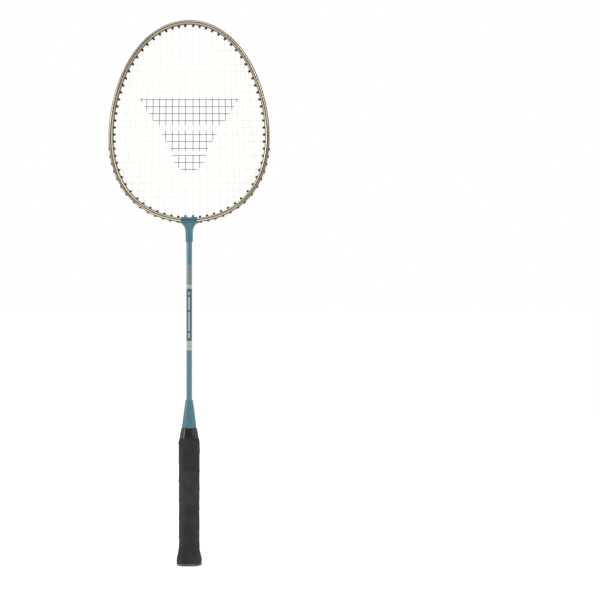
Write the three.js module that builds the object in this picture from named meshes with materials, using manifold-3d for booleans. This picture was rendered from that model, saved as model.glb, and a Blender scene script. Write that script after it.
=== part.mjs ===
// A strung badminton racket with a grooved aluminium head, a moulded throat joint, a painted
// steel shaft and a wrapped wooden handle. Millimetres, +Z up from the butt to the head,
// X across the string bed, Y square to it. The front of the racket faces -Y.
import * as THREE from "three";
import { mergeVertices } from "three/addons/utils/BufferGeometryUtils.js";
import Module from "manifold-3d";

const wasm = await Module();
wasm.setup();

// ---------------------------------------------------------------- driving dimensions
const RACKET_LENGTH = 665;
const GAP = 0.3; // clearance between pieces that touch on the real racket

// Outer outline of the head: an egg, narrower towards the throat.
const HEAD = { halfWidth: 97.3, halfHeight: 123.45, egg: 0.1297, square: 0.0832 };
// Section of the head tube: depth runs along Y, thickness lies in the plane of the strings.
const TUBE = { thickness: 5.8, depth: 10, grooveDepth: 1.9, grooveWidth: 4.6, wall: 0.8 };
const TUBE_STEPS = 54;
const TUBE_END_GAP = 0.6; // between the two ends of the bent tube, inside the throat joint

// Stringing: 22 main strings by 22 cross strings through 36 holes on each side.
const HOLES_PER_SIDE = 36;
const CROSSES = { count: 22, firstDepth: 37.4, pitch: 8.514, firstHole: 8 };
const TOP_MAINS = { count: 7, firstX: 4.75, pitch: 7.55 };
const BOTTOM_MAINS = { count: 7, firstX: 4.6, pitch: 8.38 };
const MAINS_PER_SIDE = 11;
const STRING = { radius: 0.35, planeOffset: 0.5, knotRadius: 0.9, corner: 0.6 };

const GROMMET = { bore: 1.1, barrel: 1.5, hole: 1.85, reach: 2.3, singleReach: 1.6, sides: 6 };
const STRIP = { thickness: 0.6, width: 4, overhang: 3.2, holes: 7 };
const HEAD_RIM = { proud: 1.1, radius: 1.9 }; // the domed heads of the single grommets
const FIRST_SINGLE_HOLE = 22;
const LAST_SINGLE_HOLE = 35;

const THROAT = {
  bottomZ: 394, stemRadius: 4.5, stemTopZ: 405.5, flareHalfWidth: 12, flareHalfDepth: 5.4,
  sleeveHalfWidth: 10.3, sleeveWall: 0.8,
};
const SHAFT = { radius: 3.5, wall: 0.6, bottomZ: 62, topZ: 413.5 };
const CONE = { bottomZ: 167.6, topZ: 201.6, bottomRadius: 9.2, topRadius: 4.45, lip: 1.6 };
const TAPE = { bottomZ: 154.7, topZ: 167.3 };
const HANDLE = { bottomZ: 3.3, noseTopZ: 184, flatness: 1.1 };
const BUTT = { thickness: 3, spigotRadius: 5, spigotTopZ: 15 };
const PLUG = { halfLength: 10.5, bore: 1.3 }; // the sleeve that joins the tube's ends inside

// Half widths of the handle core across X at a few heights; the piece is straight between them.
const CORE_STATIONS = [
  [HANDLE.bottomZ, 13.4], [6.5, 13.4], [20, 10.7], [148, 10.7],
  [TAPE.bottomZ, 10.5], [TAPE.topZ, 7.7], [HANDLE.noseTopZ, 5.7],
];
const WRAP_STATIONS = [
  [HANDLE.bottomZ, 15.3], [5.2, 15.5], [9, 15.1], [20, 13.1], [28, 12.65],
  [80, 12.4], [140, 12.9], [150, 13], [TAPE.bottomZ - GAP, 12.3],
];
const TAPE_STATIONS = [[TAPE.bottomZ, 11.8], [TAPE.topZ, 9.2]];
const BUTT_STATIONS = [[0, 13.6], [0.7, 14.8], [1.6, 15.3], [BUTT.thickness, 15.3]];

// ---------------------------------------------------------------- finishes
const finish = (color, roughness, metalness) =>
  new THREE.MeshStandardMaterial({ color, roughness, metalness });
const TUBE_FINISH = finish(0x9c8a6c, 0.35, 0.8);
const TEAL_PAINT = finish(0x5a7f8b, 0.3, 0.1);
const TEAL_PLASTIC = finish(0x567c88, 0.4, 0);
const BLACK_NYLON = finish(0x1d1a19, 0.5, 0);
const STRING_NYLON = finish(0xe6e2c8, 0.35, 0);
const WOOD = finish(0xb58a5a, 0.7, 0);
const GRIP_BLACK = finish(0x373534, 0.85, 0);
const TAPE_BLACK = finish(0x141414, 0.25, 0);
const CAP_BLACK = finish(0x3e3a3a, 0.6, 0);
const BARE_ALUMINIUM = finish(0xb9bcc0, 0.4, 0.9);

// ---------------------------------------------------------------- solids and booleans
function solid(geometry) {
  const bare = geometry.clone();
  for (const name of ["normal", "uv"]) bare.deleteAttribute(name);
  const merged = mergeVertices(bare, 1e-4);
  return new wasm.Manifold(new wasm.Mesh({
    numProp: 3,
    vertProperties: new Float32Array(merged.attributes.position.array),
    triVerts: new Uint32Array(merged.index.array),
  }));
}

function geometryOf(manifold) {
  const mesh = manifold.getMesh();
  const geometry = new THREE.BufferGeometry();
  geometry.setAttribute("position", new THREE.BufferAttribute(mesh.vertProperties, 3));
  geometry.setIndex(new THREE.BufferAttribute(mesh.triVerts, 1));
  geometry.computeVertexNormals();
  return geometry;
}

const unite = (pieces) => pieces.reduce((all, piece) => all.add(piece));
const carve = (body, cutters) => cutters.reduce((left, cutter) => left.subtract(cutter), body);

// ---------------------------------------------------------------- the head's outline
// Point and outward direction of the outer outline. turn is 0 at the tip and PI at the throat,
// and negative on the -X side.
function outline(turn) {
  const { halfWidth: a, halfHeight: b, egg, square } = HEAD;
  const c = Math.cos(turn);
  const s = Math.sin(turn);
  const fullness = 1 - egg * c + square * c * c;
  const slopeX = a * (c * fullness + s * (egg * s - 2 * square * c * s));
  const slopeZ = -b * s;
  const length = Math.hypot(slopeX, slopeZ);
  return {
    point: new THREE.Vector3(a * s * fullness, 0, RACKET_LENGTH - b * (1 - c)),
    outward: new THREE.Vector3(-slopeZ / length, 0, slopeX / length),
  };
}

// A point at a signed distance outside the tube's centre line.
function besideTube(turn, out, y = 0) {
  const { point, outward } = outline(turn);
  const spot = point.addScaledVector(outward, out - TUBE.thickness / 2);
  return spot.setY(y);
}

class TubeLine extends THREE.Curve {
  constructor(fromTurn, toTurn) {
    super();
    Object.assign(this, { fromTurn, toTurn });
  }

  getPoint(u, target = new THREE.Vector3()) {
    return target.copy(besideTube(THREE.MathUtils.lerp(this.fromTurn, this.toTurn, u), 0));
  }
}

// A section swept along the tube. The section's x points to the front and its y to the strings.
function sweep(section, fromTurn, toTurn, steps, curveSegments = 3) {
  const extrudePath = new TubeLine(fromTurn, toTurn);
  return solid(new THREE.ExtrudeGeometry(section, { steps, extrudePath, curveSegments }));
}

// The turn at which a rising or falling measure of the outline reaches a value.
function turnWhere(measure, value, low, high) {
  const rising = measure(high) > measure(low);
  for (let i = 0; i < 40; i += 1) {
    const middle = (low + high) / 2;
    if (measure(middle) < value === rising) low = middle;
    else high = middle;
  }
  return (low + high) / 2;
}

// ---------------------------------------------------------------- string holes
const INNER_END = -(TUBE.thickness / 2 + GROMMET.reach); // inner end of a grommet's barrel
const mouthX = (turn) => besideTube(turn, INNER_END).x;
const mouthDepth = (turn) => RACKET_LENGTH - besideTube(turn, INNER_END).z;

// Turns of holes 1 to 36 from the tip to the throat, on the +X side.
function holeTurns() {
  const turns = [];
  for (let i = 0; i < TOP_MAINS.count; i += 1)
    turns.push(turnWhere(mouthX, TOP_MAINS.firstX + i * TOP_MAINS.pitch, 0, 1.2));
  for (let i = 0; i < CROSSES.count; i += 1)
    turns.push(turnWhere(mouthDepth, CROSSES.firstDepth + i * CROSSES.pitch, 0.1, 3));
  for (let i = BOTTOM_MAINS.count - 1; i >= 0; i -= 1)
    turns.push(turnWhere(mouthX, BOTTOM_MAINS.firstX + i * BOTTOM_MAINS.pitch, 2.2, Math.PI));
  return turns;
}

const TURNS = holeTurns();
const SIDES = [{ name: "left", sign: -1 }, { name: "right", sign: 1 }];
const isSingle = (hole) => hole >= FIRST_SINGLE_HOLE && hole <= LAST_SINGLE_HOLE;
const turnOf = (side, hole) => side.sign * TURNS[hole - 1];

// A prism with few sides along a hole's axis, between two distances from the tube's centre line.
function alongHole(turn, radius, fromOut, toOut, sides = GROMMET.sides) {
  const { outward } = outline(turn);
  const prism = new THREE.CylinderGeometry(radius, radius, toOut - fromOut, sides);
  const upright = new THREE.Vector3(0, 1, 0);
  prism.applyQuaternion(new THREE.Quaternion().setFromUnitVectors(upright, outward));
  const middle = besideTube(turn, (fromOut + toOut) / 2);
  return solid(prism.translate(middle.x, middle.y, middle.z));
}

// ---------------------------------------------------------------- head frame
const GROOVE_FLOOR = TUBE.thickness / 2 - TUBE.grooveDepth;
const END_TURN = turnWhere((turn) => outline(turn).point.x, TUBE_END_GAP / 2, 2.6, Math.PI);

// Rounded oval with the string groove pressed into its outer side.
function tubeSection() {
  const half = TUBE.thickness / 2;
  const depth = TUBE.depth / 2;
  const groove = TUBE.grooveWidth / 2;
  const section = new THREE.Shape();
  section.moveTo(groove, -half);
  section.bezierCurveTo(groove + 1.6, -half, depth, -0.6 * half, depth, 0);
  section.bezierCurveTo(depth, 0.55 * half, 0.55 * depth, half, 0, half);
  section.bezierCurveTo(-0.55 * depth, half, -depth, 0.55 * half, -depth, 0);
  section.bezierCurveTo(-depth, -0.6 * half, -groove - 1.6, -half, -groove, -half);
  section.lineTo(-groove, -GROOVE_FLOOR);
  section.lineTo(groove, -GROOVE_FLOOR);
  section.closePath();
  return section;
}

// The hollow behind the groove, as an ellipse that leaves the wall all round; grow widens it.
function hollowSection(grow = 0) {
  const outer = -(GROOVE_FLOOR - TUBE.wall);
  const inner = TUBE.thickness / 2 - TUBE.wall;
  const hollow = new THREE.Shape();
  const radiusX = TUBE.depth / 2 - TUBE.wall - 0.2 + grow;
  const radiusY = (inner - outer) / 2 + grow;
  hollow.absellipse(0, (inner + outer) / 2, radiusX, radiusY, 0, 2 * Math.PI);
  return hollow;
}

function headFrame() {
  const tube = sweep(tubeSection(), -END_TURN, END_TURN, TUBE_STEPS, 2);
  const past = 0.02; // the hollow runs out of both ends
  const hollow = sweep(hollowSection(), -END_TURN - past, END_TURN + past, TUBE_STEPS);
  const holes = SIDES.flatMap((side) =>
    TURNS.map((turn) =>
      alongHole(side.sign * turn, GROMMET.hole, -TUBE.thickness / 2 - 1, GROOVE_FLOOR + 1)));
  return geometryOf(carve(tube, [hollow, ...holes]));
}

// The short sleeve inside the tube that joins its two ends in the throat.
function framePlug() {
  const reach = turnWhere((turn) => outline(turn).point.x, PLUG.halfLength, 2.6, Math.PI);
  const section = hollowSection(-GAP);
  const leftHalf = sweep(section, -Math.PI - 0.01, -reach, 2);
  const rightHalf = sweep(section, reach, Math.PI + 0.01, 2);
  const bores = SIDES.map((side) => alongHole(turnOf(side, HOLES_PER_SIDE), PLUG.bore, -5, 5));
  return geometryOf(carve(leftHalf.add(rightHalf), bores));
}

// ---------------------------------------------------------------- grommets
const SEAT = GROOVE_FLOOR + GAP; // underside of every grommet flange in the groove
const STRIP_TOP = SEAT + STRIP.thickness;
const SINGLE_TOP = TUBE.thickness / 2 + HEAD_RIM.proud;

function grommetStrip(side, firstHole) {
  const lastHole = firstHole + STRIP.holes - 1;
  const perTurn = HEAD.halfWidth * 1.1;
  const margin = STRIP.overhang / perTurn;
  const from = TURNS[firstHole - 1] - margin;
  const to = TURNS[lastHole - 1] + margin;
  const band = new THREE.Shape();
  const half = STRIP.width / 2;
  band.moveTo(-half, -STRIP_TOP).lineTo(half, -STRIP_TOP).lineTo(half, -SEAT)
    .lineTo(-half, -SEAT).closePath();
  const ends = side.sign > 0 ? [from, to] : [-to, -from];
  const strip = sweep(band, ...ends, STRIP.holes);
  const turns = [];
  for (let hole = firstHole; hole <= lastHole; hole += 1) turns.push(turnOf(side, hole));
  const barrels = turns.map((turn) =>
    alongHole(turn, GROMMET.barrel, INNER_END, (SEAT + STRIP_TOP) / 2));
  const bores = turns.map((turn) => alongHole(turn, GROMMET.bore, INNER_END - 1, STRIP_TOP + 1));
  return geometryOf(carve(unite([strip, ...barrels]), bores));
}

// A single grommet turned about its own axis: barrel, seat in the groove and a proud head.
function singleGrommet(side, hole) {
  const mouth = -(TUBE.thickness / 2 + GROMMET.singleReach);
  const profile = [
    [GROMMET.bore, mouth], [GROMMET.barrel, mouth], [GROMMET.barrel, SEAT],
    [HEAD_RIM.radius, SEAT], [HEAD_RIM.radius, SINGLE_TOP - 0.5],
    [GROMMET.barrel, SINGLE_TOP], [GROMMET.bore, SINGLE_TOP], [GROMMET.bore, mouth],
  ].map(([radius, out]) => new THREE.Vector2(radius, out));
  const { outward } = outline(turnOf(side, hole));
  const axis = new THREE.Vector3(0, 1, 0);
  const lathe = new THREE.LatheGeometry(profile, GROMMET.sides);
  lathe.applyQuaternion(new THREE.Quaternion().setFromUnitVectors(axis, outward));
  const centre = besideTube(turnOf(side, hole), 0);
  return geometryOf(solid(lathe.translate(centre.x, centre.y, centre.z)));
}

// ---------------------------------------------------------------- strings
// A path that steps from corner to corner, with each corner's section halfway between its legs.
class CorneredPath extends THREE.Curve {
  constructor(corners) {
    super();
    this.corners = corners;
  }

  cornerAt(u) {
    return Math.round(u * (this.corners.length - 1));
  }

  getPoint(u, target = new THREE.Vector3()) {
    return target.copy(this.corners[this.cornerAt(u)]);
  }

  getPointAt(u, target) {
    return this.getPoint(u, target);
  }

  getTangentAt(u, target = new THREE.Vector3()) {
    const at = this.cornerAt(u);
    const legs = [at - 1, at].filter((leg) => leg >= 0 && leg < this.corners.length - 1);
    target.set(0, 0, 0);
    for (const leg of legs)
      target.add(this.corners[leg + 1].clone().sub(this.corners[leg]).normalize());
    return target.normalize();
  }
}

// How far outside the centre line a string lies where it runs from one hole to the next.
const linkOut = (hole) =>
  (isSingle(hole) ? SINGLE_TOP : STRIP_TOP) + GAP + STRING.radius;

// The corners of a string that goes out through one hole and back in through its neighbour.
function linkCorners(side, outHole, inHole, y) {
  const [a, b] = [outHole, inHole].map((hole) => besideTube(turnOf(side, hole), linkOut(hole), y));
  const drop = (hole) =>
    besideTube(turnOf(side, hole), linkOut(hole) - STRING.corner, y);
  const inner = (hole) => besideTube(turnOf(side, hole), INNER_END, y);
  const along = b.clone().sub(a).setLength(STRING.corner);
  return [
    inner(outHole), drop(outHole), a.clone().add(along), b.clone().sub(along), drop(inHole),
    inner(inHole),
  ];
}

// The end of a string, tied off just inside the hole that it last came in through.
const tailCorner = (side, hole, y) =>
  besideTube(turnOf(side, hole), INNER_END - STRING.knotRadius - GAP, y);

function stringSection() {
  const section = new THREE.Shape();
  section.absarc(0, 0, STRING.radius, 0, 2 * Math.PI);
  return section;
}

// One whole string with a tied knot at each end, on the face side of its last strand.
function wholeString(corners, knotY) {
  const extrudePath = new CorneredPath(corners);
  const settings = { steps: corners.length - 1, extrudePath, curveSegments: 2 };
  const strand = solid(new THREE.ExtrudeGeometry(stringSection(), settings));
  const knots = [corners[0], corners.at(-1)].map((end) =>
    solid(new THREE.SphereGeometry(STRING.knotRadius, 6, 4).translate(end.x, knotY, end.z)));
  return geometryOf(unite([strand, ...knots]));
}

// Mains run from top hole n to bottom hole 37 - n; each side is laced outwards from the tip.
function mainString() {
  const y = STRING.planeOffset;
  const bottomOf = (main) => HOLES_PER_SIDE + 1 - main;
  const halfRoute = (side) => {
    const corners = [];
    for (let main = 1; main < MAINS_PER_SIDE; main += 2)
      corners.push(
        ...linkCorners(side, bottomOf(main), bottomOf(main + 1), y),
        ...linkCorners(side, main + 1, main + 2, y),
      );
    const tieOff = bottomOf(MAINS_PER_SIDE) - 1;
    corners.push(...linkCorners(side, tieOff + 1, tieOff, y), tailCorner(side, tieOff, y));
    return corners;
  };
  const [left, right] = SIDES.map(halfRoute);
  const overTip = SIDES.map((side) => [
    besideTube(turnOf(side, 1), INNER_END, y),
    besideTube(turnOf(side, 1), linkOut(1) - STRING.corner, y),
    besideTube(turnOf(side, 1), linkOut(1), y).add(
      new THREE.Vector3(-side.sign * STRING.corner, 0, 0)),
  ]);
  const route = [...left.reverse(), ...overTip[0], ...overTip[1].reverse(), ...right];
  return wholeString(route, y + GAP * 2);
}

// Crosses run level and turn round at alternate sides; each end ties off one hole further on.
function crossString() {
  const y = -STRING.planeOffset;
  const [left, right] = SIDES;
  const first = CROSSES.firstHole;
  const last = first + CROSSES.count - 1;
  const route = [tailCorner(left, first - 1, y), ...linkCorners(left, first - 1, first, y)];
  for (let hole = first; hole < last; hole += 2) {
    route.push(...linkCorners(right, hole, hole + 1, y));
    if (hole + 1 < last) route.push(...linkCorners(left, hole + 1, hole + 2, y));
  }
  route.push(...linkCorners(left, last, last + 1, y), tailCorner(left, last + 1, y));
  return wholeString(route, y - GAP * 2);
}

// ---------------------------------------------------------------- pieces along Z
// An octagon with wide front and back flats, one unit to each flat.
function octagon() {
  const [flatX, flatY] = [0.5, 0.42];
  const corners = [
    [1, -flatY], [1, flatY], [flatX, 1], [-flatX, 1], [-1, flatY], [-1, -flatY],
    [-flatX, -1], [flatX, -1],
  ];
  return new THREE.Shape(corners.map(([x, y]) => new THREE.Vector2(x, y)));
}

function circle() {
  const section = new THREE.Shape();
  section.absarc(0, 0, 1, 0, 2 * Math.PI);
  return section;
}

// A unit section stretched to [z, halfX, halfY] at each station, straight in between.
function loft(section, stations, curveSegments = 8) {
  const steps = stations.length - 1;
  const settings = { depth: steps, steps, bevelEnabled: false, curveSegments };
  const geometry = new THREE.ExtrudeGeometry(section, settings);
  const position = geometry.attributes.position;
  for (let i = 0; i < position.count; i += 1) {
    const [z, halfX, halfY] = stations[Math.round(position.getZ(i))];
    position.setXYZ(i, position.getX(i) * halfX, position.getY(i) * halfY, z);
  }
  return solid(geometry);
}

// Handle stations: depth is a little less than width, and grow is added to both.
const handleStations = (stations, grow = 0) =>
  stations.map(([z, half]) => [z, half + grow, half - HANDLE.flatness + grow]);

const roundStations = (stations) => stations.map(([z, radius]) => [z, radius, radius]);
const rod = (radius, fromZ, toZ, curveSegments = 8) =>
  loft(circle(), roundStations([[fromZ, radius], [toZ, radius]]), curveSegments);

// The core with its two ends carried on, as the cutter for what fits over it.
function coreCutter() {
  const stations = handleStations(CORE_STATIONS, GAP);
  const [firstZ, ...firstHalves] = stations[0];
  return loft(octagon(), [[firstZ - 1, ...firstHalves], ...stations]);
}

function handleCore() {
  const core = loft(octagon(), handleStations(CORE_STATIONS));
  const shaftHole = rod(SHAFT.radius + GAP, SHAFT.bottomZ - GAP, HANDLE.noseTopZ + 1);
  const spigotHole = rod(BUTT.spigotRadius + GAP, 0, BUTT.spigotTopZ + GAP, 6);
  return geometryOf(carve(core, [shaftHole, spigotHole]));
}

const gripWrap = () =>
  geometryOf(carve(loft(octagon(), handleStations(WRAP_STATIONS)), [coreCutter()]));

const finishingTape = () =>
  geometryOf(carve(loft(octagon(), handleStations(TAPE_STATIONS)), [coreCutter()]));

function buttCap() {
  const disc = loft(octagon(), handleStations(BUTT_STATIONS));
  return geometryOf(disc.add(rod(BUTT.spigotRadius, 1, BUTT.spigotTopZ, 6)));
}

// Round at the lip, with the handle's eight flats growing in towards the bottom.
function coneFerrule() {
  const { bottomZ, topZ, bottomRadius, topRadius, lip } = CONE;
  const round = roundStations([
    [bottomZ, bottomRadius], [topZ - lip, topRadius + 0.1], [topZ - 0.4, topRadius],
    [topZ, topRadius - 0.2],
  ]);
  const flats = [[bottomZ - 1, bottomRadius - 0.2], [topZ + 1, topRadius + 0.6]];
  const body = loft(circle(), round, 10).intersect(loft(octagon(), handleStations(flats, 0.6)));
  const shaftHole = rod(SHAFT.radius + GAP, bottomZ - 1, topZ + 1);
  return geometryOf(carve(body, [coreCutter(), shaftHole]));
}

function shaft() {
  const { radius, wall, bottomZ, topZ } = SHAFT;
  return geometryOf(rod(radius, bottomZ, topZ).subtract(rod(radius - wall, 0, topZ + 1)));
}

// ---------------------------------------------------------------- throat joint
// A plain oval that lies a distance outside the tube's section.
function ovalSection(grow) {
  const [radiusX, radiusY] = [TUBE.depth / 2 + grow, TUBE.thickness / 2 + grow];
  const corner = 0.72;
  return new THREE.Shape().moveTo(radiusX, 0)
    .bezierCurveTo(radiusX, corner * radiusY, corner * radiusX, radiusY, 0, radiusY)
    .bezierCurveTo(-corner * radiusX, radiusY, -radiusX, corner * radiusY, -radiusX, 0)
    .bezierCurveTo(-radiusX, -corner * radiusY, -corner * radiusX, -radiusY, 0, -radiusY)
    .bezierCurveTo(corner * radiusX, -radiusY, radiusX, -corner * radiusY, radiusX, 0);
}

// An oval bar along the tube across the throat, reaching halfWidth to each side.
function throatBar(grow, halfWidth) {
  const reach = turnWhere((turn) => outline(turn).point.x, halfWidth, 2.6, Math.PI);
  const ends = [[-Math.PI - 0.01, -reach], [reach, Math.PI + 0.01]];
  return unite(ends.map((turns) => sweep(ovalSection(grow), ...turns, 2, 4)));
}

function throatJoint() {
  const { bottomZ, stemRadius, stemTopZ, flareHalfWidth, flareHalfDepth } = THROAT;
  const tubeBottom = outline(Math.PI).point.z;
  const flareTopZ = tubeBottom - GAP - THROAT.sleeveWall;
  const flareSteps = 5;
  const stations = [
    [bottomZ, stemRadius - 0.2, stemRadius - 0.2], [bottomZ + 2, stemRadius, stemRadius],
  ];
  for (let i = 0; i <= flareSteps; i += 1) {
    const swing = (i / flareSteps) * (Math.PI / 2);
    const out = 1 - Math.cos(swing);
    stations.push([
      THREE.MathUtils.lerp(stemTopZ, flareTopZ, Math.sin(swing)),
      THREE.MathUtils.lerp(stemRadius, flareHalfWidth, out),
      THREE.MathUtils.lerp(stemRadius, flareHalfDepth, out),
    ]);
  }
  stations.push([tubeBottom + 1, flareHalfWidth, flareHalfDepth]);
  const nippleTop = INNER_END - THROAT.sleeveWall;
  const body = unite([
    loft(circle(), stations, 6),
    throatBar(GAP + THROAT.sleeveWall, THROAT.sleeveHalfWidth),
    ...SIDES.map((side) =>
      alongHole(turnOf(side, HOLES_PER_SIDE), GROMMET.barrel, nippleTop, -TUBE.thickness / 2)),
  ]);
  const bores = SIDES.map((side) =>
    alongHole(turnOf(side, HOLES_PER_SIDE), GROMMET.bore, nippleTop - 1, 0));
  const shaftHole = rod(SHAFT.radius + GAP, bottomZ - 1, SHAFT.topZ + GAP);
  const tunnel = throatBar(GAP, 2 * flareHalfWidth);
  return geometryOf(carve(body, [tunnel, shaftHole, ...bores, ...SIDES.map(stringSlot)]));
}

// The slot that lets the innermost main string run out of the sleeve to its neighbour.
function stringSlot(side) {
  const y = STRING.planeOffset;
  const [from, to] = [HOLES_PER_SIDE, LAST_SINGLE_HOLE].map((hole) =>
    besideTube(turnOf(side, hole), linkOut(hole), y));
  const width = 2 * (STRING.radius + GAP);
  const length = from.distanceTo(to) + 2;
  const slot = new THREE.BoxGeometry(length, width, width);
  slot.rotateY(-Math.atan2(to.z - from.z, to.x - from.x));
  const middle = from.clone().add(to).multiplyScalar(0.5);
  return solid(slot.translate(middle.x, middle.y, middle.z));
}

// ---------------------------------------------------------------- the racket
const racket = new THREE.Group();

function place(name, geometry, material, parent = racket) {
  const mesh = new THREE.Mesh(geometry, material);
  mesh.name = name;
  parent.add(mesh);
}

place("head_frame", headFrame(), TUBE_FINISH);
place("frame_joint_plug", framePlug(), BARE_ALUMINIUM);
place("throat_joint", throatJoint(), TEAL_PLASTIC);
place("shaft", shaft(), TEAL_PAINT);
place("cone_ferrule", coneFerrule(), TEAL_PLASTIC);
place("handle_core", handleCore(), WOOD);
place("grip_wrap", gripWrap(), GRIP_BLACK);
place("finishing_tape", finishingTape(), TAPE_BLACK);
place("butt_cap", buttCap(), CAP_BLACK);
place("main_string", mainString(), STRING_NYLON);
place("cross_string", crossString(), STRING_NYLON);

const grommets = new THREE.Group();
racket.add(grommets);
for (const side of SIDES) {
  ["tip", "shoulder", "flank"].forEach((stretch, i) => {
    const geometry = grommetStrip(side, 1 + i * STRIP.holes);
    place(`grommet_strip_${stretch}_${side.name}`, geometry, BLACK_NYLON, grommets);
  });
  for (let hole = FIRST_SINGLE_HOLE; hole <= LAST_SINGLE_HOLE; hole += 1)
    place(`grommet_${side.name}_${hole}`, singleGrommet(side, hole), BLACK_NYLON, grommets);
}

export default racket;
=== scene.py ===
"""Finished looks of a strung badminton racket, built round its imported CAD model.

Sizes are millimetres, and become metres when a mesh is made. +Z runs from the butt to the head, X across
the string bed and Y square to it, and the front of the racket faces -Y. Distances "out" are measured in
the plane of the strings, outwards from the centre line of the head tube.
"""

import logging
from collections.abc import Sequence
from dataclasses import dataclass, field
from enum import Enum

import bpy
import numpy as np
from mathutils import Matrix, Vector


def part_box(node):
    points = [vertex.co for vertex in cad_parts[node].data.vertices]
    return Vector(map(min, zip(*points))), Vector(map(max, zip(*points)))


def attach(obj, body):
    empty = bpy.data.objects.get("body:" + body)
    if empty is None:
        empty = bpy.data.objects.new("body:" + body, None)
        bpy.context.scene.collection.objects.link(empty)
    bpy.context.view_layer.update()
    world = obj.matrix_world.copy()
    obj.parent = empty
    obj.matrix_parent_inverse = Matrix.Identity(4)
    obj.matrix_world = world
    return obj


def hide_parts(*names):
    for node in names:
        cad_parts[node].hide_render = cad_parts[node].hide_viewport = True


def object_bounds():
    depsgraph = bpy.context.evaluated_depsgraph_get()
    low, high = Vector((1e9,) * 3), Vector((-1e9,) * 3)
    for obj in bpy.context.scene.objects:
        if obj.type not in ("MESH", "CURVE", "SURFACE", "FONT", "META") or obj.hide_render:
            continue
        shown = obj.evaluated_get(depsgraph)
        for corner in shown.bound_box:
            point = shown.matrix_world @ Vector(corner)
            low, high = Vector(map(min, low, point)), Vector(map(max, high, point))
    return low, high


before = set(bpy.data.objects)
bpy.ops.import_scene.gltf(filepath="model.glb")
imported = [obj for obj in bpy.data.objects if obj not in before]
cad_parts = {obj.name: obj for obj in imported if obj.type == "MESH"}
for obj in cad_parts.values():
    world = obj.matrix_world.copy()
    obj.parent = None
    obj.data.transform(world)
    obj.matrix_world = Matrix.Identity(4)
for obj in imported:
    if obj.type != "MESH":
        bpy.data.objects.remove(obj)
cad_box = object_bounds()

Array = np.ndarray
Colour = tuple[float, float, float]
Socket = bpy.types.NodeSocket
BODY = "root"
MM = 0.001
FULL_TURN = 2 * np.pi
BACKWARDS = np.array([0.0, 1.0, 0.0])
REACH = 0.26  # how far a covering reaches over the clearance to its neighbour, so that no core shows
log = logging.getLogger("racket")


# ------------------------------------------------------------------------------------- arithmetic
def ease(value: Array) -> Array:
    """Smooth step: 0 below 0, 1 above 1, and 3v^2 - 2v^3 in between."""
    clipped = np.clip(value, 0, 1)
    return clipped * clipped * (3 - 2 * clipped)


def unit(vectors: Array) -> Array:
    """Vectors brought to length 1 along the last axis."""
    return vectors / np.maximum(np.linalg.norm(vectors, axis=-1, keepdims=True), 1e-12)


def linear(red: int, green: int, blue: int) -> Colour:
    """Linear light of a display colour given as three numbers up to 255.

    Args:
        red: amount of red.
        green: amount of green.
        blue: amount of blue.

    Returns:
        The three numbers of the linear colour.
    """
    display = np.array([red, green, blue]) / 255
    light = np.where(display <= 0.04045, display / 12.92, ((display + 0.055) / 1.055) ** 2.4)
    return tuple(float(value) for value in light)


def arc(t: Array, start: Array, corner: Array, end: Array) -> Array:
    """Quadratic arc (1-t)^2 A + 2t(1-t) P + t^2 C from A to C about a corner P."""
    return (1 - t) ** 2 * start + 2 * t * (1 - t) * corner + t**2 * end


def lengths_along(points: Array) -> Array:
    """Distance of each point from the first one, measured along the line through them all."""
    return np.concatenate([[0.0], np.cumsum(np.linalg.norm(np.diff(points, axis=0), axis=1))])


def signed_power(value: Array, power: Array | float) -> Array:
    """Size of a value raised to a power, with the value's own sign."""
    return np.sign(value) * np.abs(value) ** power


def rounded(corners: Array, radius: float, steps: int = 4) -> Array:
    """Closed outline whose corners are cut by quadratic arcs.

    Each arc starts and ends on the corner's two sides, radius away from it but never past the middle of
    a side.

    Args:
        corners: points x dimensions.
        radius: length of side that each arc takes up.
        steps: pieces of each arc.

    Returns:
        The points of the rounded outline.
    """
    ends = []
    for shift in (1, -1):
        side = np.roll(corners, shift, axis=0) - corners
        length = np.linalg.norm(side, axis=1, keepdims=True)
        ends.append(corners + side / length * np.minimum(radius, 0.49 * length))
    t = np.linspace(0, 1, steps + 1)[None, :, None]
    start, corner, end = ends[0][:, None], corners[:, None], ends[1][:, None]
    return arc(t, start, corner, end).reshape(-1, corners.shape[1])


def evenly(outline: Array, count: int) -> Array:
    """Closed outline sampled at places equally far apart along it.

    Args:
        outline: points x dimensions.
        count: number of places.

    Returns:
        count x dimensions points.
    """
    closed = np.vstack([outline, outline[:1]])
    along = lengths_along(closed)
    places = np.linspace(0, along[-1], count, endpoint=False)
    return np.stack([np.interp(places, along, column) for column in closed.T], axis=1)


# ------------------------------------------------------------------------------------- meshes
class Ends(Enum):
    """How the first and last rows of a grid are closed."""

    CAPPED = "capped"
    JOINED = "joined"


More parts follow.
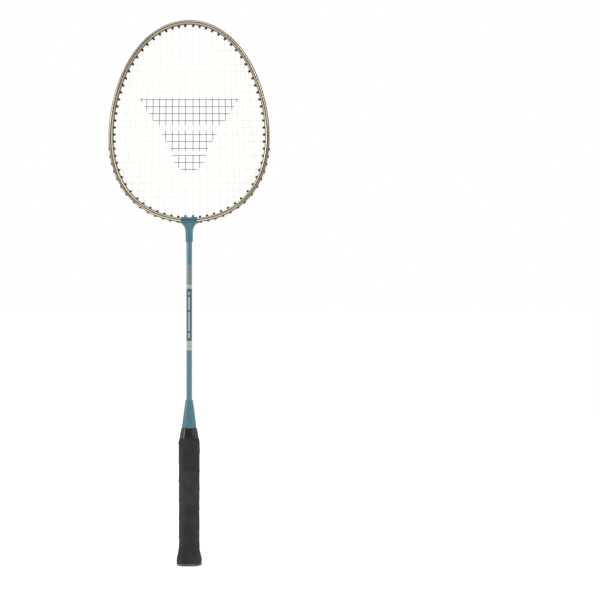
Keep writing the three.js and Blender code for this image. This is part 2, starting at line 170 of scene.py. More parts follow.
def convexity(grid: Array, joined: bool, sign: float) -> Array:
    """How crisply each point of a grid bulges, from 0 on flat and hollow places to 1 on sharp edges.

    Along each direction the curvature is (2P - P_before - P_after) . N / h^2, where h is half the distance
    between the neighbours and N the normal. The larger of the two is divided by 3 per millimetre.

    Args:
        grid: rows x columns x 3 points.
        joined: whether the last row meets the first.
        sign: 1 where the grid's own normals point outwards, -1 where they point inwards.

    Returns:
        rows x columns values.
    """
    column = [np.roll(grid, 1, axis=1), np.roll(grid, -1, axis=1)]
    row = [np.roll(grid, 1, axis=0), np.roll(grid, -1, axis=0)]
    if not joined:
        row[0][0], row[1][-1] = grid[0], grid[-1]
    normal = sign * unit(np.cross(column[1] - column[0], row[1] - row[0]))
    bends = []
    for before, after in (column, row):
        half = np.linalg.norm(after - before, axis=-1) / 2
        rise = ((2 * grid - before - after) * normal).sum(axis=-1)
        bends.append(rise / np.maximum(half, 0.05) ** 2)
    if not joined:
        bends[1][[0, -1]] = 0
    return np.clip(np.maximum(*bends) / 3, 0, 1)


def placed(name: str, data: bpy.types.ID) -> bpy.types.Object:
    """Makes an object of a mesh, lamp or camera and puts it in the scene.

    Args:
        name: the object's name.
        data: what it shows.

    Returns:
        The object.
    """
    made = bpy.data.objects.new(name, data)
    bpy.context.scene.collection.objects.link(made)
    return made


class Skin:
    """Gathers closed grids of points into one mesh with a UV map and an attribute for worn edges."""

    def __init__(self) -> None:
        """Starts with nothing in it."""
        self.points: list[Array] = []
        self.edges: list[Array] = []
        self.faces: list[list[int]] = []
        self.maps: list[Array] = []
        self.count = 0

    def add(self, grid: Array, uv: Array | None = None, lap: float = 1.0, ends: Ends = Ends.CAPPED) -> None:
        """Adds a grid whose columns close round, with its faces pointing outwards.

        Args:
            grid: rows x columns x 3 points in millimetres.
            uv: rows x columns x 2 map, or None for the row and column as shares of the grid.
            lap: what the second map value grows by from the last column back to the first.
            ends: whether the end rows get a cap each or are joined to each other.
        """
        rows, columns = grid.shape[:2]
        if uv is None:
            shares = np.meshgrid(np.arange(rows) / rows, np.arange(columns) / columns, indexing="ij")
            uv = np.stack(shares, axis=-1)
        joined = ends is Ends.JOINED
        row = np.arange(rows if joined else rows - 1)[:, None]
        column = np.arange(columns)[None, :]
        following = (column + 1) % columns
        low, high = row * columns, (row + 1) % rows * columns
        quads = np.stack([low + column, low + following, high + following, high + column], axis=-1)
        quad_map = uv.reshape(-1, 2)[quads]
        quad_map[:, -1, 1:3, 1] += lap
        faces, maps = quads.reshape(-1, 4), quad_map.reshape(-1, 4, 2)
        points = grid.reshape(-1, 3)
        fans, fan_maps = np.empty((0, 3), int), np.empty((0, 3, 2))
        if not joined:
            centres = grid[[0, -1]].mean(axis=1)
            middle_maps = uv[[0, -1]].mean(axis=1)
            ring, after = column[0], following[0]
            last = (rows - 1) * columns
            hub = np.full(columns, rows * columns)
            fans = np.vstack([
                np.stack([after, ring, hub], axis=1),
                np.stack([last + ring, last + after, hub + 1], axis=1),
            ])
            points = np.vstack([points, centres])
            fan_maps = np.vstack([uv.reshape(-1, 2), middle_maps])[fans]
        triangles = points[np.vstack([faces[:, :3], faces[:, [0, 2, 3]], fans])]
        volume = (triangles[:, 0] * np.cross(triangles[:, 1], triangles[:, 2])).sum()
        sign = 1.0 if volume > 0 else -1.0
        if volume < 0:
            faces, maps, fans, fan_maps = faces[:, ::-1], maps[:, ::-1], fans[:, ::-1], fan_maps[:, ::-1]
        edge = np.zeros(len(points))
        edge[: rows * columns] = convexity(grid, joined, sign).ravel()
        self.points.append(points)
        self.edges.append(edge)
        self.faces += (faces + self.count).tolist() + (fans + self.count).tolist()
        self.maps += [maps.reshape(-1, 2), fan_maps.reshape(-1, 2)]
        self.count += len(points)

    def piece(self, name: str, finish: "Finish", slot: str, nodes: Sequence[str], crease: float = 38) -> None:
        """Makes the object, dresses it and hands it to the frame.

        Args:
            name: the object's name.
            finish: what its surface is made of.
            slot: the record's material slot; not used.
            nodes: the CAD nodes that it stands for.
            crease: angle in degrees above which an edge stays crisp.
        """
        mesh = bpy.data.meshes.new(name)
        mesh.from_pydata((np.vstack(self.points) * MM).tolist(), [], self.faces)
        mesh.uv_layers.new(name="surface").uv.foreach_set("vector", np.vstack(self.maps).ravel())
        worn = mesh.attributes.new("edge", "FLOAT", "POINT")
        worn.data.foreach_set("value", np.concatenate(self.edges).astype(np.float32))
        mesh.polygons.foreach_set("use_smooth", np.ones(len(mesh.polygons), bool))
        mesh.set_sharp_from_angle(angle=np.radians(crease))
        mesh.materials.append(finish.material())
        made = placed(name, mesh)
        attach(made, BODY)
        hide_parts(*nodes)
        log.info("%s: %d faces", name, len(mesh.polygons))


def sleeve(outer: Array, inner: Array) -> Array:
    """Rows of an open-ended hollow: along the outer skin and back along the inner one."""
    return np.concatenate([outer, inner[::-1]], axis=0)


def swept(path: Array, section: Array, joined: bool = False) -> Array:
    """A section carried along a path that never runs along Y.

    With T the path's direction, A the part of Y square to T and B = T x A, the point of section (p, q) at
    path point C is C + p A + q B.

    Args:
        path: points x 3 places of the section's centre.
        section: columns x 2 points about the centre.
        joined: whether the path closes on itself.

    Returns:
        points x columns x 3 grid.
    """
    if joined:
        ahead = np.roll(path, -1, axis=0) - np.roll(path, 1, axis=0)
    else:
        ahead = np.gradient(path, axis=0)
    direction = unit(ahead)
    first = unit(BACKWARDS - direction * direction[:, 1:2])
    second = np.cross(direction, first)
    across = section[None, :, 0, None] * first[:, None] + section[None, :, 1, None] * second[:, None]
    return path[:, None] + across


def ring(count: int, radius: float = 1.0) -> Array:
    """Circle of count points about the origin."""
    angle = np.linspace(0, FULL_TURN, count, endpoint=False)
    return radius * np.stack([np.cos(angle), np.sin(angle)], axis=1)


def turned(profile: Array, columns: int, origin: Array, axis: Array) -> Array:
    """A profile turned about an axis in the XZ plane.

    The point of profile (radius, height) at angle a is origin + height Z' + radius (cos a Y + sin a X'),
    where Z' is the axis and X' is square to it and to Y.

    Args:
        profile: rows x 2 of radius and height.
        columns: points round the axis.
        origin: the point of height 0.
        axis: direction of the axis, of length 1.

    Returns:
        rows x columns x 3 grid.
    """
    across = np.cross(axis, BACKWARDS)
    circle = ring(columns)
    spokes = circle[:, :1] * BACKWARDS + circle[:, 1:] * across
    return origin + profile[:, None, 1:] * axis + profile[:, None, :1] * spokes


def standing(section: Array, heights: Array, half_widths: Array, half_depths: Array) -> Array:
    """A unit section stretched at each height: the point of (p, q) is (p w, q d, z).

    Args:
        section: columns x 2 points, or rows x columns x 2 where it changes with height.
        heights: z of each row.
        half_widths: w of each row.
        half_depths: d of each row.

    Returns:
        rows x columns x 3 grid.
    """
    shape = np.broadcast_to(section, (len(heights), *section.shape[-2:]))
    x = shape[..., 0] * half_widths[:, None]
    y = shape[..., 1] * half_depths[:, None]
    return np.stack([x, y, np.broadcast_to(heights[:, None], x.shape)], axis=-1)


# ------------------------------------------------------------------------------------- node graphs
class Graph:
    """A material's nodes, with short ways to add what the finishes share."""

    def __init__(self, name: str) -> None:
        """Starts a material with its shader ready.

        Args:
            name: the material's name.
        """
        self.material = bpy.data.materials.new(name)
        self.material.use_nodes = True
        self.tree = self.material.node_tree
        self.shader = self.tree.nodes["Principled BSDF"]
        self.place = self.node("ShaderNodeTexCoord").outputs["Object"]

    def node(self, kind: str, **settings: object) -> bpy.types.Node:
        """Adds a node and sets its properties.

        Args:
            kind: type name of the node.
            settings: its properties by name.

        Returns:
            The node.
        """
        made = self.tree.nodes.new(kind)
        for key, value in settings.items():
            setattr(made, key, value)
        return made

    def feed(self, socket: Socket, value: object) -> None:
        """Links a socket to another one, or sets its value.

        Args:
            socket: what receives the value.
            value: another socket, or a number, colour or vector.
        """
        if isinstance(value, bpy.types.NodeSocket):
            self.tree.links.new(value, socket)
        elif isinstance(value, tuple) and len(value) == 3 and socket.type == "RGBA":
            socket.default_value = (*value, 1.0)
        else:
            socket.default_value = value

    def set(self, **values: object) -> None:
        """Sets the shader's sockets, each named with _ for its spaces."""
        for key, value in values.items():
            self.feed(self.shader.inputs[key.replace("_", " ")], value)

    def math(self, operation: str, first: object, second: object = 0.0) -> Socket:
        """One arithmetic step on two values.

        Args:
            operation: name of the node's operation.
            first: first value.
            second: second value.

        Returns:
            The result.
        """
        made = self.node("ShaderNodeMath", operation=operation)
        self.feed(made.inputs[0], first)
        self.feed(made.inputs[1], second)
        return made.outputs[0]

    def rise(self, value: object, start: float, end: float, low: float = 0.0, high: float = 1.0) -> Socket:
        """Goes smoothly from low to high as a value goes from start to end.

        Args:
            value: what is followed.
            start: value at which the change starts.
            end: value at which it ends.
            low: result before the change.
            high: result after it.

        Returns:
            The result.
        """
        made = self.node("ShaderNodeMapRange", interpolation_type="SMOOTHSTEP")
        for socket, number in zip(made.inputs[:5], (value, start, end, low, high)):
            self.feed(socket, number)
        return made.outputs[0]

    def varied(self, noise: Socket, low: float = 0.0, high: float = 1.0) -> Socket:
        """Spreads the middle of a noise's values over the range from low to high."""
        return self.rise(noise, 0.3, 0.7, low, high)

    def band(self, value: object, start: float, end: float, soft: float) -> Socket:
        """1 where a value lies between start and end, fading over soft at both.

        Args:
            value: what is followed.
            start: lower edge.
            end: upper edge.
            soft: half the width of each fade.

        Returns:
            The share, from 0 to 1.
        """
        up = self.rise(value, start - soft, start + soft)
        down = self.rise(value, end - soft, end + soft, 1.0, 0.0)
        return self.math("MULTIPLY", up, down)

    def mix(self, share: object, first: object, second: object) -> Socket:
        """Blend of two colours.

        Args:
            share: how much of the second colour.
            first: colour at share 0.
            second: colour at share 1.

        Returns:
            The blended colour.
        """
        made = self.node("ShaderNodeMix", data_type="RGBA")
        self.feed(made.inputs[0], share)
        self.feed(made.inputs[6], first)
        self.feed(made.inputs[7], second)
        return made.outputs[2]

    def split(self, vector: Socket) -> tuple[Socket, Socket, Socket]:
        """The three numbers of a vector.

        Args:
            vector: what is taken apart.

        Returns:
            Its x, y and z.
        """
        made = self.node("ShaderNodeSeparateXYZ")
        self.feed(made.inputs[0], vector)
        return made.outputs[0], made.outputs[1], made.outputs[2]

    def squares(self, first: object, second: object) -> Socket:
        """Sum of the squares of two values."""
        return self.math("ADD", self.math("POWER", first, 2.0), self.math("POWER", second, 2.0))

    def surface(self) -> tuple[Socket, Socket]:
        """The two values of the piece's own UV map."""
        along, around, _ = self.split(self.node("ShaderNodeUVMap", uv_map="surface").outputs[0])
        return along, around

    def noise(self, size: float, detail: float = 2.0, stretch: Colour = (1.0, 1.0, 1.0)) -> Socket:
        """Soft random value with features of a size in millimetres, drawn out along X, Y and Z.

        Args:
            size: size of the features.
            detail: how many finer layers are added.
            stretch: how many times longer the features are along each axis.

        Returns:
            The value.
        """
        mapping = self.node("ShaderNodeMapping")
        self.feed(mapping.inputs["Vector"], self.place)
        self.feed(mapping.inputs["Scale"], tuple(1 / (size * MM * pull) for pull in stretch))
        made = self.node("ShaderNodeTexNoise")
        self.feed(made.inputs["Vector"], mapping.outputs[0])
        self.feed(made.inputs["Scale"], 1.0)
        self.feed(made.inputs["Detail"], detail)
        return made.outputs[0]

    def worn(self, amount: float, size: float = 3.0) -> Socket:
        """Share of wear: the crisp edges, broken up by noise.

        Args:
            amount: share on the most rubbed edges.
            size: size of the patches in millimetres.

        Returns:
            The share.
        """
        edge = self.node("ShaderNodeAttribute", attribute_name="edge").outputs["Fac"]
        patchy = self.rise(self.noise(size, 3.0), 0.42, 0.62, 0.0, amount)
        return self.math("MULTIPLY", self.rise(edge, 0.15, 0.7), patchy)

    def bump(
        self, height: object, depth: float, strength: float = 1.0, under: Socket | None = None,
    ) -> Socket:
        """Relief of a depth in millimetres, laid over the relief under it.

        Args:
            height: height as a share of the depth.
            depth: depth in millimetres.
            strength: how strongly the relief counts.
            under: normal of the relief under it, or None.

        Returns:
            The normal.
        """
        made = self.node("ShaderNodeBump")
        self.feed(made.inputs["Strength"], strength)
        self.feed(made.inputs["Distance"], depth * MM)
        self.feed(made.inputs["Height"], height)
        if under is not None:
            self.feed(made.inputs["Normal"], under)
        return made.outputs[0]


class Finish:
    """What a surface is made of. Each finish makes its material once and shares it."""

    made: dict[str, bpy.types.Material] = {}

    def material(self) -> bpy.types.Material:
        """The finish's material.

        Returns:
            The material, which the first call makes.
        """
        name = type(self).__name__
        if name not in Finish.made:
            graph = Graph(name)
            self.dress(graph)
            Finish.made[name] = graph.material
        return Finish.made[name]

    def dress(self, graph: Graph) -> None:
        """Builds the nodes; every finish has its own."""
        raise NotImplementedError


# ------------------------------------------------------------------------------------- finishes
@dataclass(frozen=True)
class ChampagneLacquer(Finish):
    """Metallic champagne lacquer on the head tube, with painted highlights as long cream stripes, painted
    shade as brown lines along its middle and edges, and two stretches of slanted strokes of painted shade on
    each side. The surface map gives the arc length from the tip and the distance out, in metres; the sizes
    here are millimetres."""

    body: Colour = linear(138, 124, 99)
    brown: Colour = linear(72, 58, 40)
    cream: Colour = linear(232, 220, 196)
    painted_outer_highlight: tuple[float, float] = (0.75, 1.75)
    painted_inner_highlight: tuple[float, float] = (-1.6, -0.65)
    painted_middle_shade: tuple[float, float] = (-0.4, 0.5)
    painted_edge_shade: tuple[float, float] = (1.7, 2.35)
    changeover: tuple[float, float] = (150.0, 188.0)
    throat_lines: tuple[float, float] = (262.0, 290.0)
    hatch: tuple[float, float] = (46.0, 158.0)
    hatch_pitch: float = 4.0
    hatch_slant: float = 2.2
    hatch_across: tuple[float, float] = (-1.0, 2.4)
    hatch_fade: float = 9.0
    stripe_fade: float = 0.22
    lower: tuple[float, float] = (205.0, 325.0)
    lower_pitch: float = 3.2

    def stripe(self, graph: Graph, out: Socket, span: tuple[float, float], share: object) -> Socket:
        """Share of a long stripe between two distances out, weakened by a share."""
        across = graph.band(out, span[0] * MM, span[1] * MM, self.stripe_fade * MM)
        return graph.math("MULTIPLY", across, share)

    def strokes(self, graph: Graph, distance: Socket, out: Socket, pitch: float) -> Socket:
        """Slanted strokes at a pitch along the tube, 1 on a stroke and 0 between."""
        slant = graph.math("ADD", distance, graph.math("MULTIPLY", out, self.hatch_slant))
        return graph.rise(graph.math("PINGPONG", slant, pitch * MM / 2), 0.2 * pitch * MM, 0.32 * pitch * MM)

    def dress(self, graph: Graph) -> None:
        """Champagne flake, painted highlights as cream stripes, painted shade as a brown middle line and
        brown edges, and slanted strokes of painted shade on two stretches.

        The outer painted highlight fades where the inner one brightens, and comes back near the throat.

        Args:
            graph: where the nodes go.
        """
        along, out = graph.surface()
        distance = graph.math("ABSOLUTE", along)
        flake = graph.noise(0.25, 1.0)
        cloud = graph.noise(34.0, 2.0)
        lacquer = graph.mix(graph.varied(cloud, 0.0, 0.4), self.body, self.brown)
        lacquer = graph.mix(graph.rise(flake, 0.45, 0.75, 0.0, 0.2), lacquer, self.cream)
        # Painted highlights: cream stripes outside and inside the middle of the tube, the outer one strong
        # near the tip and the throat, the inner one strong lower down.
        start, end = self.changeover
        outer = graph.rise(distance, start * MM, end * MM, 0.95, 0.08)
        again = graph.rise(distance, self.throat_lines[0] * MM, self.throat_lines[1] * MM, 0.0, 0.95)
        inner = graph.rise(distance, start * MM, end * MM, 0.4, 0.95)
        outer = graph.math("MAXIMUM", outer, again)
        lacquer = graph.mix(self.stripe(graph, out, self.painted_outer_highlight, outer), lacquer, self.cream)
        lacquer = graph.mix(self.stripe(graph, out, self.painted_inner_highlight, inner), lacquer, self.cream)
        # Painted shade: a brown line down the middle of the tube, between the painted highlights.
        lacquer = graph.mix(self.stripe(graph, out, self.painted_middle_shade, 0.75), lacquer, self.brown)
        # Painted shade: on two stretches, slanted brown strokes break the painted highlights into dashes; the
        # strokes' share and the ink below are this painted shade, not print.
        stretches = ((self.hatch, self.hatch_pitch, 0.85), (self.lower, self.lower_pitch, 0.45))
        for span, pitch, weight in stretches:
            stretch = graph.band(distance, span[0] * MM, span[1] * MM, self.hatch_fade * MM)
            shade_stroke_area = graph.math("MULTIPLY", self.stripe(graph, out, self.hatch_across, weight), stretch)
            ink = graph.math("MULTIPLY", shade_stroke_area, self.strokes(graph, distance, out, pitch))
            lacquer = graph.mix(ink, lacquer, self.brown)
        # Painted shade: brown along both edges of the tube, where its sides turn away from the light.
        width = graph.math("ABSOLUTE", out)
        edges = graph.rise(width, self.painted_edge_shade[0] * MM, self.painted_edge_shade[1] * MM, 0.0, 0.9)
        lacquer = graph.mix(edges, lacquer, self.brown)
        lacquer = graph.mix(graph.worn(0.4), lacquer, self.cream)
        smudge = graph.rise(graph.noise(14.0, 3.0), 0.35, 0.7, 0.24, 0.38)
        graph.set(Base_Color=lacquer, Metallic=0.6, Roughness=smudge)
        graph.set(Coat_Weight=0.5, Coat_Roughness=0.12)
        graph.set(Normal=graph.bump(flake, 0.01, 0.25))


@dataclass(frozen=True)
class TealPlastic(Finish):
    """Moulded glossy teal plastic of the throat joint and the cone."""

    teal: Colour = linear(70, 118, 132)
    deep: Colour = linear(52, 97, 112)
    pale: Colour = linear(142, 182, 186)

    def dress(self, graph: Graph) -> None:
        """Teal with faint flow marks from moulding, paler on rubbed edges.

        Args:
            graph: where the nodes go.
        """
        flow = graph.noise(7.0, 3.0, (1.0, 1.0, 3.0))
        colour = graph.mix(graph.varied(flow), self.teal, self.deep)
        colour = graph.mix(graph.worn(0.75, 2.0), colour, self.pale)
        colour = self.shaded(graph, colour)
        graph.set(Base_Color=colour, Roughness=graph.varied(graph.noise(5.0, 3.0), 0.26, 0.4))
        graph.set(Coat_Weight=0.35, Coat_Roughness=0.1)
        graph.set(Normal=graph.bump(graph.noise(0.5, 2.0), 0.015, 0.35))

    def shaded(self, graph: Graph, colour: Socket) -> Socket:
        """The colour as it is; a moulding with recesses paints shade into them here."""
        return colour


@dataclass(frozen=True)
class RecessedPlastic(TealPlastic):
    """The same plastic in a darker teal, with painted shade in a level slit and in a pocket at each end of
    it.
    """

    teal: Colour = linear(60, 113, 128)
    deep: Colour = linear(44, 92, 108)
    middle: float = 421.0
    slit_half: float = 8.6
    pocket_x: float = 8.0
    pocket_radius: float = 1.35
    line_half: float = 0.75
    soft: float = 0.3
    painted_shade: Colour = linear(18, 34, 40)

    def shaded(self, graph: Graph, colour: Socket) -> Socket:
        """Painted shade where the slit and the pockets are, fading at their edges.

        Args:
            graph: where the nodes go.
            colour: the clean plastic.

        Returns:
            The colour with the grime on it.
        """
        x, _, height = graph.split(graph.place)
        aside = graph.math("ABSOLUTE", x)
        rise = graph.math("SUBTRACT", height, self.middle * MM)
        line = graph.band(rise, -self.line_half * MM, self.line_half * MM, 0.2 * MM)
        short = graph.rise(aside, (self.slit_half + 0.6) * MM, self.slit_half * MM)
        slit = graph.math("MULTIPLY", line, short)
        beyond = graph.math("SUBTRACT", aside, self.pocket_x * MM)
        reach = graph.math("SQRT", graph.squares(beyond, rise))
        rim = self.pocket_radius
        pocket = graph.rise(reach, (rim + self.soft) * MM, (rim - self.soft) * MM)
        # Painted shade: dark teal in the slit and the pockets, where the recesses would lie in shadow.
        share = graph.math("MULTIPLY", graph.math("MAXIMUM", slit, pocket), 0.85)
        return graph.mix(share, colour, self.painted_shade)


@dataclass(frozen=True)
class ShaftPaint(Finish):
    """Gloss teal paint on the shaft, with zones of print at fixed heights: a pinstriped mauve-grey zone,
    sage rings, a dark zone with plain bars where a maker prints his name, and pale pinstripes."""

    teal: Colour = linear(80, 122, 134)
    deep: Colour = linear(44, 84, 98)
    mauve: Colour = linear(128, 132, 138)
    sage: Colour = linear(158, 172, 156)
    pale: Colour = linear(206, 220, 218)
    mauve_zone: tuple[float, float] = (342.0, 366.0)
    sage_rings: tuple[tuple[float, float], ...] = ((337.0, 342.0), (267.0, 273.5))
    dark_zone: tuple[float, float] = (273.5, 337.0)
    bar_half: float = 1.0
    bar_spans: tuple[tuple[float, float], ...] = (
        (277.0, 283.0), (285.5, 309.0), (311.5, 327.0), (329.5, 333.0),
    )

    def rings(self, graph: Graph, height: Socket, colour: Socket, paint: Colour,
              spans: Sequence[tuple[float, float]]) -> Socket:
        """Paints rings over a colour.

        Args:
            graph: where the nodes go.
            height: z of the surface.
            colour: what lies under the rings.
            paint: their colour.
            spans: lower and upper edge of each ring, in millimetres.

        Returns:
            The painted colour.
        """
        for low, high in spans:
            colour = graph.mix(graph.band(height, low * MM, high * MM, 0.12 * MM), colour, paint)
        return colour

    def dress(self, graph: Graph) -> None:
        """Zones from the top down, then the plain bars on the dark zone's front and back.

        Args:
            graph: where the nodes go.
        """
        x, _, height = graph.split(graph.place)
        cloud = graph.noise(22.0, 2.0, (1.0, 1.0, 2.5))
        colour = graph.mix(graph.varied(cloud, 0.0, 0.3), self.teal, self.deep)
        colour = self.rings(graph, height, colour, self.mauve, [self.mauve_zone])
        lines = [(343.5 + 2.6 * i, 344.1 + 2.6 * i) for i in range(9)]
        colour = self.rings(graph, height, colour, self.deep, lines)
        colour = self.rings(graph, height, colour, self.sage, self.sage_rings)
        colour = self.rings(graph, height, colour, self.deep, [self.dark_zone])
        pinstripes = [(262.3 + 1.6 * i, 263.0 + 1.6 * i) for i in range(3)]
        colour = self.rings(graph, height, colour, self.pale, pinstripes)
        colour = self.bars(graph, x, height, colour)
        graph.set(Base_Color=colour, Metallic=0.25)
        graph.set(Roughness=graph.varied(graph.noise(9.0, 3.0), 0.16, 0.28))
        graph.set(Coat_Weight=0.8, Coat_Roughness=0.06)
        graph.set(Normal=graph.bump(graph.noise(1.5, 2.0), 0.01, 0.25))

    def bars(self, graph: Graph, x: Socket, height: Socket, colour: Socket) -> Socket:
        """Plain upright bars of three lengths down the middle of the dark zone.

        Args:
            graph: where the nodes go.
            x: sideways place on the surface.
            height: z of the surface.
            colour: what lies under the bars.

        Returns:
            The colour with the bars on it.
        """
        edge = self.bar_half * MM
        middle = graph.math("MULTIPLY", graph.band(x, -edge, edge, 0.25 * MM), 0.6)
        for low, high in self.bar_spans:
            bar = graph.math("MULTIPLY", middle, graph.band(height, low * MM, high * MM, 0.15 * MM))
            colour = graph.mix(bar, colour, self.pale)
        return colour


@dataclass(frozen=True)
class BlackNylon(Finish):
    """Moulded black nylon of the grommets."""

    black: Colour = linear(24, 21, 19)
    brown: Colour = linear(52, 44, 34)
    dust: Colour = linear(122, 112, 96)

    def dress(self, graph: Graph) -> None:
        """Near black, browner where light comes through the thin rims, with a dusty bloom.

        Args:
            graph: where the nodes go.
        """
        colour = graph.mix(graph.rise(graph.noise(2.5, 3.0), 0.4, 0.75, 0.0, 0.6), self.black, self.brown)
        colour = graph.mix(graph.worn(0.15, 1.0), colour, self.dust)
        graph.set(Base_Color=colour, Roughness=graph.varied(graph.noise(1.2, 2.0), 0.36, 0.55))
        graph.set(Normal=graph.bump(graph.noise(0.3, 2.0), 0.02, 0.4))


@dataclass(frozen=True)
class StringNylon(Finish):
    """Pale natural string with a fine wound outer wrap and a plain shuttlecock stencilled on the bed.

    The stencil is centred on middle, the height of the middle of the shuttle's skirt."""

    middle: float
    pale: Colour = linear(248, 248, 228)
    cool: Colour = linear(238, 239, 216)
    ink: Colour = linear(26, 26, 28)
    skirt_half: tuple[float, float] = (21.0, 61.0)
    skirt_height: float = 64.0
    cork_radius: float = 20.5
    cork_drop: float = 5.0
    thread_gap: tuple[float, float] = (25.0, 31.0)
    soft: float = 0.3
    filaments: float = 3.0
    filaments_per_metre: float = 900.0

    def dress(self, graph: Graph) -> None:
        """Two tones of nylon, helical filament lines, and ink where the stencil lets it through.

        Args:
            graph: where the nodes go.
        """
        along, around = graph.surface()
        colour = graph.mix(graph.rise(graph.noise(9.0, 2.0), 0.35, 0.65), self.pale, self.cool)
        colour = graph.mix(self.stencil(graph), colour, self.ink)
        lengthwise = graph.math("MULTIPLY", along, self.filaments_per_metre)
        winding = graph.math("ADD", lengthwise, graph.math("MULTIPLY", around, self.filaments))
        ridge = graph.math("PINGPONG", winding, 0.5)
        graph.set(Base_Color=colour, Roughness=graph.varied(graph.noise(3.0, 2.0), 0.3, 0.42))
        graph.set(Normal=graph.bump(ridge, 0.02, 0.3))

    def stencil(self, graph: Graph) -> Socket:
        """Share of ink: a skirt that widens upwards, split by two thread rings, over a half-round cork.

        Args:
            graph: where the nodes go.

        Returns:
            1 inside the stencil and 0 outside.
        """
        x, _, height = graph.split(graph.place)
        aside = graph.math("ABSOLUTE", x)
        low = self.middle - self.skirt_height / 2
        high = low + self.skirt_height
        narrow, wide = self.skirt_half
        edge = self.node_line(graph, height, (low, narrow), (high, wide))
        soft = self.soft * MM
        inside = graph.rise(graph.math("SUBTRACT", edge, aside), -soft, soft)
        skirt = graph.math("MULTIPLY", inside, graph.band(height, low * MM, high * MM, soft))
        gap = graph.band(height, (low + self.thread_gap[0]) * MM, (low + self.thread_gap[1]) * MM, soft)
        skirt = graph.math("MULTIPLY", skirt, graph.math("SUBTRACT", 1.0, gap))
        down = graph.math("SUBTRACT", height, (low - self.cork_drop) * MM)
        radius = graph.math("SQRT", graph.squares(aside, down))
        rim = self.cork_radius * MM
        round_end = graph.rise(radius, rim - soft, rim + soft, 1.0, 0.0)
        cork = graph.math("MULTIPLY", round_end, graph.rise(down, -soft, soft, 1.0, 0.0))
        fade = graph.rise(graph.noise(2.0, 2.0), 0.25, 0.5, 0.75, 1.0)
        return graph.math("MULTIPLY", graph.math("MAXIMUM", skirt, cork), fade)

    def node_line(
        self, graph: Graph, value: Socket, first: tuple[float, float], second: tuple[float, float],
    ) -> Socket:
        """Straight line through two points of value and result, both in millimetres.

        Args:
            graph: where the nodes go.
            value: what is followed, in metres.
            first: value and result at one point.
            second: value and result at the other.

        Returns:
            The result, in metres.
        """
        slope = (second[1] - first[1]) / (second[0] - first[0])
        shifted = graph.math("SUBTRACT", value, first[0] * MM)
        return graph.math("ADD", graph.math("MULTIPLY", shifted, slope), first[1] * MM)


@dataclass(frozen=True)
class GripLeather(Finish):
    """Matte black synthetic leather, spirally wound. The map gives the height in metres and the share of
    a turn."""

    pitch: float
    black: Colour = linear(34, 33, 32)
    grey: Colour = linear(60, 58, 56)
    seam: Colour = linear(24, 23, 23)
    holes_per_turn: float = 26.0
    rows_per_metre: float = 333.0
    hole_edge: tuple[float, float] = (0.006, 0.014)

    def dress(self, graph: Graph) -> None:
        """Two blacks in clouds, rubbed grey ridges, dark seams, leather grain and rows of pinholes.

        Args:
            graph: where the nodes go.
        """
        along, around = graph.surface()
        phase = graph.math("ADD", graph.math("DIVIDE", along, self.pitch * MM), around)
        from_seam = graph.math("PINGPONG", phase, 0.5)
        colour = graph.mix(graph.rise(graph.noise(16.0, 3.0), 0.35, 0.7, 0.0, 0.5), self.black, self.grey)
        colour = graph.mix(graph.worn(0.5, 4.0), colour, self.grey)
        colour = graph.mix(graph.rise(from_seam, 0.0, 0.03, 0.55, 0.0), colour, self.seam)
        grain = graph.noise(0.7, 4.0)
        crease = graph.noise(2.6, 3.0, (1.0, 1.0, 0.6))
        graph.set(Base_Color=colour, Roughness=graph.varied(grain, 0.7, 0.88))
        graph.set(Sheen_Weight=0.06, Specular_IOR_Level=0.3)
        hole = self.pinholes(graph, along, around)
        relief = graph.bump(crease, 0.12, 0.5)
        relief = graph.bump(grain, 0.05, 0.6, relief)
        graph.set(Normal=graph.bump(hole, 0.15, 0.6, relief))

    def pinholes(self, graph: Graph, along: Socket, around: Socket) -> Socket:
        """Height of the surface at rows of pinholes, 0 in a hole and 1 beside it.

        Args:
            graph: where the nodes go.
            along: height in metres.
            around: share of a turn.

        Returns:
            The height, from 0 to 1.
        """
        column = graph.math("PINGPONG", graph.math("MULTIPLY", around, self.holes_per_turn), 0.5)
        row = graph.math("PINGPONG", graph.math("MULTIPLY", along, self.rows_per_metre), 0.5)
        return graph.rise(graph.squares(column, row), *self.hole_edge)


@dataclass(frozen=True)
class GlossTape(Finish):
    """Stretched glossy black vinyl tape."""

    black: Colour = linear(9, 9, 10)
    grey: Colour = linear(34, 34, 36)

    def dress(self, graph: Graph) -> None:
        """Black with paler stretch marks along the wind and scuffed edges.

        Args:
            graph: where the nodes go.
        """
        strain = graph.noise(3.5, 3.0, (2.5, 2.5, 0.5))
        colour = graph.mix(graph.rise(strain, 0.5, 0.8, 0.0, 0.35), self.black, self.grey)
        colour = graph.mix(graph.worn(0.5, 2.0), colour, self.grey)
        graph.set(Base_Color=colour, Roughness=graph.varied(strain, 0.16, 0.3))
        graph.set(Coat_Weight=0.25, Coat_Roughness=0.08)
        graph.set(Normal=graph.bump(strain, 0.06, 0.5))


@dataclass(frozen=True)
class CapRubber(Finish):
    """Soft purplish-black moulded butt cap."""

    dark: Colour = linear(66, 58, 62)
    pale: Colour = linear(132, 124, 126)

    def dress(self, graph: Graph) -> None:
        """Fine spark-eroded grain with dust on the rim.

        Args:
            graph: where the nodes go.
        """
        colour = graph.mix(graph.rise(graph.noise(6.0, 3.0), 0.35, 0.7, 0.0, 0.3), self.dark, self.pale)
        colour = graph.mix(graph.worn(0.7, 2.0), colour, self.pale)
        grain = graph.noise(0.35, 3.0)
        graph.set(Base_Color=colour, Roughness=graph.varied(grain, 0.5, 0.68))
        graph.set(Normal=graph.bump(grain, 0.05, 0.5))


